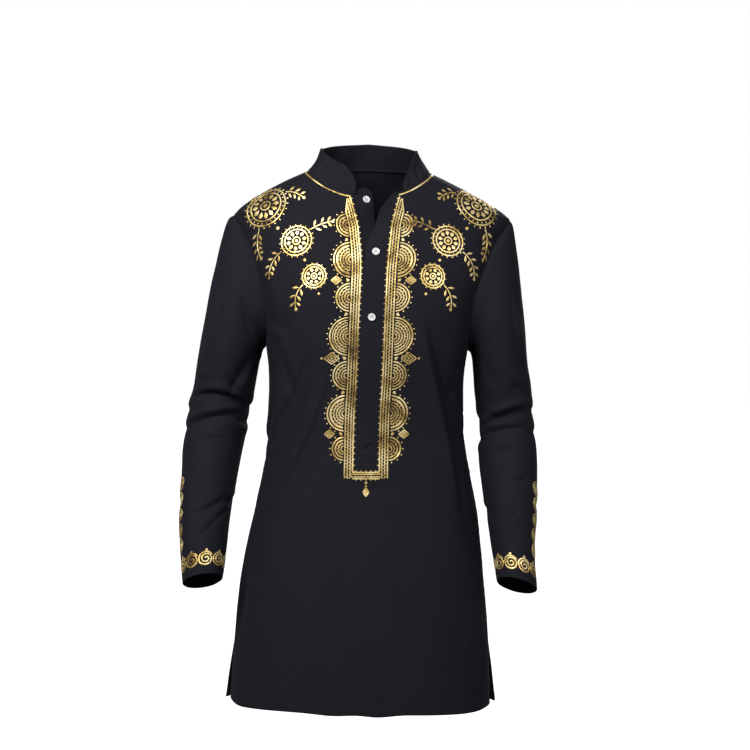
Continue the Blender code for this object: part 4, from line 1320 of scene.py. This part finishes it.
ROSETTES = [
    # x on the wearer's right and left, y and height to lay it from, which way, radius, petals, its lines
    (-0.1720, 0.1830, (BEFORE, -0.0610), BACKWARDS, 0.0400, 12, 0.0029),
    (-0.1180, 0.1330, (BEFORE, -0.1230), BACKWARDS, 0.0290, 10, 0.00245),
    (-0.0880, 0.1070, (BEFORE, -0.1830), BACKWARDS, 0.0220, 8, 0.0021636),
    (-0.1580, 0.1680, (0.040, OVERHEAD), DOWNWARDS, 0.0300, 10, 0.0026),
]
SPRIGS = [
    # number of the rosette it grows from, its start, bend and tip from there, pairs of leaves
    (0, (-0.004, -0.042), (-0.014, -0.064), (0.004, -0.086), 4),
    (0, (0.030, 0.028), (0.048, 0.030), (0.066, 0.018), 3),
    (1, (-0.024, -0.018), (-0.048, -0.034), (-0.046, -0.060), 4),
    (1, (0.022, 0.020), (0.040, 0.034), (0.058, 0.036), 3),
    (2, (-0.018, -0.014), (-0.036, -0.030), (-0.030, -0.054), 3),
    (3, (0.024, -0.020), (0.046, -0.026), (0.062, -0.014), 3),
    (3, (-0.024, 0.020), (-0.036, 0.032), (-0.030, 0.048), 2),
]
BEADS = [
    # x on the wearer's right and left, height, radius
    (-0.1500, 0.1650, -0.1010, 0.0028),
    (-0.1035, 0.1185, -0.1560, 0.0024),
    (-0.0800, 0.0950, -0.2125, 0.0022),
]
CENTRE = (0, 0)


def foil_material(name, dotted):
    """Gold foil whose colour is painted in random patches, from a pale painted highlight to a dark brown
    painted shade, with specks where the foil is worn off. Where it is dotted, black cloth shows in rows.
    """
    material, shader = new_material(name, Specular_IOR_Level=0.12)
    spot = object_place(material)
    cloud = speckle(spot, 26.0, Detail=5.0, Roughness=0.65)
    grain = speckle(spot, 620.0)
    # Painted light: the cloud noise lays the foil's colour in patches, from a dark brown painted shade to a
    # pale painted highlight, standing in for the foil's reflections.
    stops = [(0.36, (0.22, 0.135, 0.040, 1)), (0.47, (0.70, 0.49, 0.16, 1)), (0.58, (1.00, 0.80, 0.39, 1))]
    gold = cloud.node("ValToRGB", {"Fac": cloud}, stops=stops)
    whole = grain.maths("MULTIPLY_ADD", 9.0, -2.2).maths("SMOOTH_MIN", 1.0, 0.1)
    whole = whole.node("Clamp", {"Value": whole})
    if dotted:
        along, row = flat_place(spot, "dots")
        row = row / DOT_ROWS
        along = along / DOT_PITCH + row.maths("FLOOR") * 0.5
        aside = (row.maths("FRACT") - 0.5) * DOT_ROWS
        ahead = (along.maths("FRACT") - 0.5) * DOT_PITCH
        ahead = (ahead.maths("ABSOLUTE") - DOT_HALF_LENGTH).maths("MAXIMUM", 0.0)
        whole = whole * (aside * aside + ahead * ahead).maths("SQRT").maths("GREATER_THAN", DOT_RADIUS)
    connect(
        shader,
        Base_Color=mix_colours(whole, (0.0085, 0.0085, 0.0110, 1), gold),
        Metallic=whole * 0.62,
        Roughness=whole * (cloud * 0.22 + grain * 0.16 - 0.42) + 0.62,
        Normal=rough(grain, 0.35, 0.0001),
    )
    return material


gold_foil = foil_material("gold_foil", dotted=False)
dotted_foil = foil_material("dotted_foil", dotted=True)


def heading(degrees):
    return np.array([math.cos(math.radians(degrees)), math.sin(math.radians(degrees))])


def arc(centre, radius, first, last, count=40):
    return [np.array(centre) + radius * heading(turn) for turn in np.linspace(first, last, count)]


class Drawing:
    """Foil drawn flat: its places (across, up, rise, and two that its dots follow) and its faces."""

    def __init__(self):
        self.places, self.faces = [], []

    def add(self, places, faces):
        self.faces += renumbered(faces, len(self.places))
        self.places += [tuple(place) for place in places]

    def line(self, path, width=FOIL_LINE, closed=False):
        """A line of foil, rounded across, through these points."""
        path = np.array(path, float)
        if closed:
            path = np.vstack([path, path[:1]])
        run = run_lengths(path, 0)
        count = max(2, round(run[-1] / FOIL_STEP))
        path = resample(np.linspace(0, run[-1], count + 1), run, path)
        along = np.gradient(path, axis=0)
        slim = np.ones(count + 1)
        if closed:
            along[0] = along[-1] = path[1] - path[-2]
        else:
            slim[[0, -1]] = 0.45
        aside = unit(np.column_stack([-along[:, 1], along[:, 0]])) * width / 2
        across, rise = np.array(FOIL_ACROSS).T
        spots = path[:, None] + aside[:, None] * (across * slim[:, None])[..., None]
        places = np.dstack([spots, np.broadcast_to(rise, spots.shape[:2]), spots])
        if closed:
            places = places[:-1]
        faces = []
        for n in range(count):
            near, far = n * 5, (n + 1) % len(places) * 5
            faces += [(near + k, near + (k + 1) % 5, far + (k + 1) % 5, far + k) for k in range(5)]
        if not closed:
            faces += [tuple(range(5)), tuple(range(count * 5 + 4, count * 5 - 1, -1))]
        self.add(places.reshape(-1, 5), faces)

    def blob(self, outline):
        """A filled shape of foil, a little domed."""
        outline = np.array(outline, float)
        middle, count = outline.mean(axis=0), len(outline)
        depth = max(1, math.ceil(np.linalg.norm(outline - middle, axis=1).max() / BLOB_STEP))
        rings = [(1.0, FOIL_SINK), (0.97, FOIL_EDGE)]
        rings += [(1 - n / (depth + 1), FOIL_TOP) for n in range(1, depth + 1)]
        spots = [(*(middle + (corner - middle) * size), rise) for size, rise in rings for corner in outline]
        spots.append((*middle, FOIL_TOP))
        top = (len(rings) - 1) * count
        faces = [tuple(range(count)), *grid_cells(len(rings), count, wrap=True)]
        faces += [(top + n, top + (n + 1) % count, len(spots) - 1) for n in range(count)]
        self.add([(*spot, *spot[:2]) for spot in spots], faces)

    def dot(self, centre, radius, sides=12):
        self.blob([np.array(centre) + radius * heading(360 * n / sides) for n in range(sides)])

    def leaf(self, foot, tip, width):
        """A leaf or petal, widest beyond its middle."""
        foot, tip = np.array(foot, float), np.array(tip, float)
        aside = np.array([foot[1] - tip[1], tip[0] - foot[0]]) / np.linalg.norm(tip - foot) * width / 2
        shares = np.linspace(0, 1, 8)[:, None]
        stem, half = lerp(foot, tip, shares), aside * np.sin(math.pi * shares**1.25)
        self.blob([*(stem + half), *(stem - half)[-2:0:-1]])

    def diamond(self, centre, half_wide, half_high, width):
        """Two nested diamonds with a dot in the middle."""
        corners = np.array([(-half_wide, 0), (0, half_high), (half_wide, 0), (0, -half_high)])
        for size in (1.0, 0.58):
            self.line(np.array(centre) + size * corners, width, closed=True)
        self.dot(centre, 0.16 * min(half_wide, half_high) + 0.0006)

    def rosette(self, radius, petals, width):
        """Rings, petals, beads and rays round one point."""
        self.dot(CENTRE, 0.10 * radius, 16)
        self.line(arc(CENTRE, 0.22 * radius, 0, 352.5, 48), width, closed=True)
        for n in range(petals):
            foot, tip = (share * radius * heading(360 * (n + 0.5) / petals) for share in (0.32, 0.62))
            self.leaf(foot, tip, 2 * math.pi * 0.50 * radius / petals * 0.72)
        self.line(arc(CENTRE, 0.70 * radius, 0, 355, 72), width, closed=True)
        for n in range(2 * petals):
            self.dot(0.805 * radius * heading(180 * n / petals), max(0.0009, 0.032 * radius), 8)
        self.line(arc(CENTRE, 0.90 * radius, 0, 356, 90), width, closed=True)
        for n in range(2 * petals):
            foot, tip = (share * radius * heading(180 * (n + 0.5) / petals) for share in (0.94, 1.06))
            self.leaf(foot, tip, THIN_LINE)

    def sprig(self, start, bend, tip, pairs):
        """A curved stem with a bead at its tip and pairs of leaves that get smaller."""
        start, bend, tip = (np.array(point, float) for point in (start, bend, tip))
        t = np.linspace(0, 1, 30)[:, None]
        stem = start * (1 - t) ** 2 + 2 * bend * t * (1 - t) + tip * t * t
        self.line(stem, THIN_LINE)
        self.dot(tip, 0.0028)
        for n in range(pairs):
            place = int(29 * (n + 0.7) / (pairs + 0.5))
            along = unit(stem[min(29, place + 1)] - stem[place - 1])
            size = lerp(0.0125, 0.0085, n / pairs)
            for side in (-1, 1):
                aside = np.array([-along[1], along[0]]) * side
                foot = stem[place] + aside * 0.0018
                self.leaf(foot, foot + (along * 0.62 + aside * 0.78) * size, 0.0042)

    def panel(self, places, dots):
        """A flat film over a grid of pattern places. The other grid is what its rows of dots follow."""
        shape = places.shape[:2]
        layers = [np.dstack([places, np.full(shape, rise), dots]) for rise in (FOIL_EDGE, FOIL_SINK)]
        under = places[..., 0].size
        numbers = np.arange(under).reshape(shape)
        edge = [*numbers[0], *numbers[1:, -1], *numbers[-1, -2::-1], *numbers[-2:0:-1, 0]]
        faces = grid_cells(*shape)
        faces += [tuple(v + under for v in reversed(cell)) for cell in faces]
        faces += [(a, b, b + under, a + under) for a, b in zip(edge, edge[1:] + edge[:1])]
        self.add(np.vstack([layer.reshape(-1, 5) for layer in layers]), faces)


def cloth_side(*names):
    """What places are laid on: the outer sides of pieces of cloth, and their outward directions."""
    corners, directions, cells = [], [], []
    for _, points, out in (cloth[name] for name in names):
        cells += grid_cells(*points.shape[:2], first=len(corners))
        corners += points.reshape(-1, 3).tolist()
        directions += out.reshape(-1, 3).tolist()
    return BVHTree.FromPolygons(corners, cells), np.array(corners), np.array(directions), cells


def meet(side, starts, aim, reach=0.8):
    """Where straight lines from these starts meet the cloth, and its outward directions there."""
    tree, corners, directions, cells = side
    points, facing = [], []
    for start in starts:
        hit, _, cell, _ = tree.ray_cast(Vector(start), Vector(aim), reach)
        if hit is None:
            hit, _, cell, _ = tree.find_nearest(Vector(start + np.array(aim) * 0.05))
        near = list(cells[cell])
        weight = 1 / (np.sum((corners[near] - np.array(hit)) ** 2, axis=1) + 1e-9)
        points.append(hit)
        facing.append(weight @ directions[near])
    return np.array(points), unit(np.array(facing))


def straight_on(places):
    """Places are (x, height), seen from straight ahead."""
    return meet(front_side, np.insert(places, 1, BEFORE, axis=1), BACKWARDS)


def beside_placket(side):
    """Places are (distance out from the placket's slit, height), on the wearer's right (-1) or left (1)."""

    def place_on(places):
        edge = slit_edges(places[:, 1])[side > 0]
        return straight_on(np.column_stack([edge + side * places[:, 0], places[:, 1]]))

    return place_on


def against(start, aim, mirrored):
    """Places are (across, up) on the flat that touches the cloth where a line from start meets it."""
    (centre,), (facing,) = meet(body_side, [np.array(start)], aim)
    right = unit(np.cross([0, 0, 1], facing)) if abs(facing[2]) < 0.95 else np.array([1.0, 0, 0])
    above = np.cross(facing, right)

    def place_on(places):
        rightwards, upwards = np.outer(places[:, 0] * mirrored, right), np.outer(places[:, 1], above)
        return meet(body_side, centre + facing * 0.05 + rightwards + upwards, -facing, 0.11)

    return place_on


def lay(name, piece_name, material, drawings):
    """One piece of foil on a piece of cloth, from drawings with the functions that place them."""
    vertices, faces, dots = [], [], []
    for drawing, place_on in drawings:
        rows = np.array(drawing.places)
        points, facing = place_on(rows[:, :2])
        faces += renumbered(drawing.faces, len(vertices))
        vertices += list(points + facing * rows[:, [2]])
        dots.append(rows[:, 3:])
    piece = add_mesh(name, vertices, faces, material)
    whole = bmesh.new()
    whole.from_mesh(piece.data)
    bmesh.ops.recalc_face_normals(whole, faces=whole.faces)
    whole.to_mesh(piece.data)
    whole.free()
    set_uv(piece.data, "dots", np.vstack(dots))
    piece.data.shade_smooth()
    piece.data.set_sharp_from_angle(angle=math.radians(50))
    settle(piece)
    laid_on[piece_name].append(piece)


front_side, body_side = cloth_side("front"), cloth_side("front", "back")
plain_parts, dotted_parts = [], []

border, dots = Drawing(), Drawing()
border.line([(TOOTH_LINE, BAND_TOP + 0.004), (TOOTH_LINE, BAND_FOOT)], BORDER_LINE)
for height in np.arange(BAND_TOP, BAND_FOOT, -TOOTH_PITCH):
    border.blob([(out, height + up) for out, up in TOOTH])
rows = np.linspace(BAND_TOP, BAR_FOOT + 0.0012, 250)[:, None]
narrowing = np.interp(rows, [BAND_TOP - 0.022, BAND_TOP], [1.0, 0.25])
columns = BAND[0] + np.linspace(0, 1, 8) * (BAND[1] - BAND[0] - 0.0016) * narrowing
rows = np.broadcast_to(rows, columns.shape)
dots.panel(np.dstack([columns, rows]), np.dstack([rows, columns]))
border.line(np.column_stack([columns[:, -1] + 0.0008, rows[:, 0]]), THIN_LINE)

height = SCALLOP_TOP
for number, radius in enumerate(SCALLOPS):
    centre = np.array([BAND[1] + 0.0010, height - radius])
    inner = radius - SCALLOP_RIM
    turned_by = np.radians(np.linspace(-84, 84, 2 + round(math.pi * inner / SCALLOP_STEPS[0])))
    reach = np.linspace(0.0035, inner, 1 + round(inner / SCALLOP_STEPS[1]))[:, None]
    followed = np.dstack([0 * reach + 0.72 * inner * turned_by, reach + 0 * turned_by])
    dots.panel(centre + np.dstack([reach * np.cos(turned_by), reach * np.sin(turned_by)]), followed)
    border.line(arc(centre, inner + 0.0008, -86, 86), FINE_LINE)
    border.line(arc(centre, radius - 0.0014, -88, 88), BORDER_LINE)
    past, bead, pitch = SCALLOP_BEADS
    for turn in np.linspace(-78, 78, round(math.pi * radius / pitch)):
        border.dot(centre + (radius + past) * heading(turn), bead, 8)
    height -= 2 * radius + SCALLOP_GAP
    level = height + SCALLOP_GAP / 2
    if number < len(SCALLOPS) - 1:
        border.dot((BAND[1] + 0.0058, level), 0.0024)
    if number in DIAMONDS:
        out, *shape = DIAMONDS[number]
        border.diamond((BAND[1] + out, level), *shape)
    if number == 3:
        border.dot((BAND[1] + 0.0435, level), 0.0020)
for side in (-1, 1):
    plain_parts.append((border, beside_placket(side)))
    dotted_parts.append((dots, beside_placket(side)))

foot, foot_dots = Drawing(), Drawing()
edges = [float(x) for x in slit_edges(np.array(BAND_FOOT))]
middle, far = sum(edges) / 2, (edges[1] - edges[0]) / 2 + BAND[0]
for level in (BAND_FOOT - 0.0006, BAR_FOOT + 0.0006):
    foot.line([(middle - far + 0.001, level), (middle + far - 0.001, level)], BAR_LINE)
for n in range(5):
    x = middle + (n - 2) * 0.0080
    for level, tip in ((BAND_FOOT + 0.0004, BAND_FOOT + 0.0036), (BAR_FOOT, BAR_FOOT - 0.0032)):
        foot.blob([(x - 0.0014, level), (x + 0.0014, level), (x, tip)])
levels = np.linspace(BAND_FOOT - 0.0018, BAR_FOOT + 0.0018, 5)
grid = np.dstack(np.meshgrid(np.linspace(middle - far, middle + far, 30), levels))
foot_dots.panel(grid, grid + (0, 0.0021 - (BAND_FOOT + BAR_FOOT) / 2))
for n, radius in enumerate((0.0024, 0.0020)):
    foot.dot((middle, BAR_FOOT - 0.0062 - n * 0.0056), radius)
foot.diamond((middle, BAR_FOOT - 0.0215), 0.0050, 0.0072, FINE_LINE)
plain_parts.append((foot, straight_on))
dotted_parts.append((foot_dots, straight_on))

for number, (right_x, left_x, start, aim, *shape) in enumerate(ROSETTES):
    flower = Drawing()
    flower.rosette(*shape)
    for origin, *stem in SPRIGS:
        if origin == number:
            flower.sprig(*stem)
    for x, mirrored in ((right_x, 1), (left_x, -1)):
        plain_parts.append((flower, against((x, *start), aim, mirrored)))
beads = Drawing()
for right_x, left_x, height, radius in BEADS:
    beads.dot((right_x, height), radius)
    beads.dot((left_x, height), radius)
plain_parts.append((beads, straight_on))
lay("front_foil", "front", gold_foil, plain_parts)
lay("front_dotted_foil", "front", dotted_foil, dotted_parts)


# ------------------------------------------------------------------ gold on the cuffs and the neck
# The same foil: a running scroll with buds round each cuff, five nested ovals up the outer side of each
# forearm, and a plain line under the collar's seam, on the front and round the back.
SCROLLS = 10
SCROLL_TURNS = 1.9
SCROLL_RADIUS = 0.0108
SCROLL_RISE = 0.0250
OVALS = [0.0600, 0.0860, 0.1120, 0.1390, 0.1670]  # how far up from the cuff
OVAL_HALF = (0.0105, 0.0118)  # half of an oval's width and height
OVAL_SHIFT = 0.016  # from the outermost line of the arm towards its front
NECK_LINE = 0.0052  # how far from the collar's seam
SCROLL_LINE, OVAL_LINE = 0.0030, 0.0021

for name, shift in (("right", -OVAL_SHIFT), ("left", OVAL_SHIFT)):
    place_on, around = beside_last_row("sleeve_" + name, wrap=True)
    scrolls = Drawing()
    for n in range(SCROLLS):
        centre = np.array([n * around / SCROLLS, SCROLL_RISE])
        turned_by = np.linspace(0, SCROLL_TURNS, 70)
        reach = lerp(0.0010, SCROLL_RADIUS, (turned_by / SCROLL_TURNS) ** 0.9)
        turns = -44 - 360 * (SCROLL_TURNS - turned_by)
        spiral = [centre + r * heading(turn) for r, turn in zip(reach, turns)]
        scrolls.line(spiral + arc(centre, SCROLL_RADIUS + 0.0004, -40, 150), SCROLL_LINE)
        scrolls.leaf(centre + (0, SCROLL_RADIUS + 0.0006), centre + (0, SCROLL_RADIUS + 0.0056), 0.0042)
    turns = np.linspace(0, 6.16, 50)
    ring = np.column_stack([OVAL_HALF[0] * np.cos(turns), OVAL_HALF[1] * np.sin(turns)])
    for rise in OVALS:
        for size in (1.0, 0.66, 0.34):
            scrolls.line((shift, rise) + size * ring, OVAL_LINE, closed=True)
        scrolls.dot((shift, rise), 0.0014)
    for low, high in zip(OVALS, OVALS[1:]):
        scrolls.dot((shift, (low + high) / 2), 0.0012, 8)
    lay("cuff_foil_" + name, "sleeve_" + name, gold_foil, [(scrolls, place_on)])

neck_parts = []
slit_at = run_lengths(cloth["front"][1][-1:], 1)[0][[SIDE_COLUMNS, SLIT_END]]
for name, count in (("front", 60), ("back", 90)):
    place_on, around = beside_last_row(name)
    gap = slit_at + (-0.003, 0.003)
    neck_line = Drawing()
    for first, last in ((0.0, gap[0]), (gap[1], around)) if name == "front" else ((0.0, around),):
        neck_line.line([(s, NECK_LINE) for s in np.linspace(first, last, count)])
    neck_parts.append((neck_line, place_on))
lay("neck_foil", "front", gold_foil, neck_parts)


# ------------------------------------------------------------------ cuts
# The size that each piece of cloth is cut to, with its seam and hem allowances. The shoulders, the neck
# and the armholes are shaped, so each cut is less than its width times its length.
CUTS = [
    # piece, how it is held, width, length, area, what it hangs from
    ("front", "draped", 0.605, 1.090, 0.470, ["back"]),
    ("back", "draped", 0.600, 1.090, 0.490, ["front"]),
    ("sleeve_right", "hung", 0.605, 0.700, 0.215, ["front", "back"]),
    ("sleeve_left", "hung", 0.605, 0.690, 0.205, ["front", "back"]),
    ("collar", "folded", 0.535, 0.060, 0.0275, ["front", "back"]),
    ("placket_under", "folded", 0.050, 0.490, 0.0215, ["front"]),
    ("placket_over", "folded", 0.046, 0.505, 0.0195, ["front"]),
]
for name, held, width, length, area, others in CUTS:
    hangs_from = [cloth[other][0] for other in others]
    piece, on_it = cloth[name][0], laid_on[name]
    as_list(on_it)


# ------------------------------------------------------------------ the end
# The boxes of the solids and of what is seen are gathered.
size = {"cad": [list(map(float, c)) for c in cad_box], "visual": [list(map(float, c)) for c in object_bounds()]}
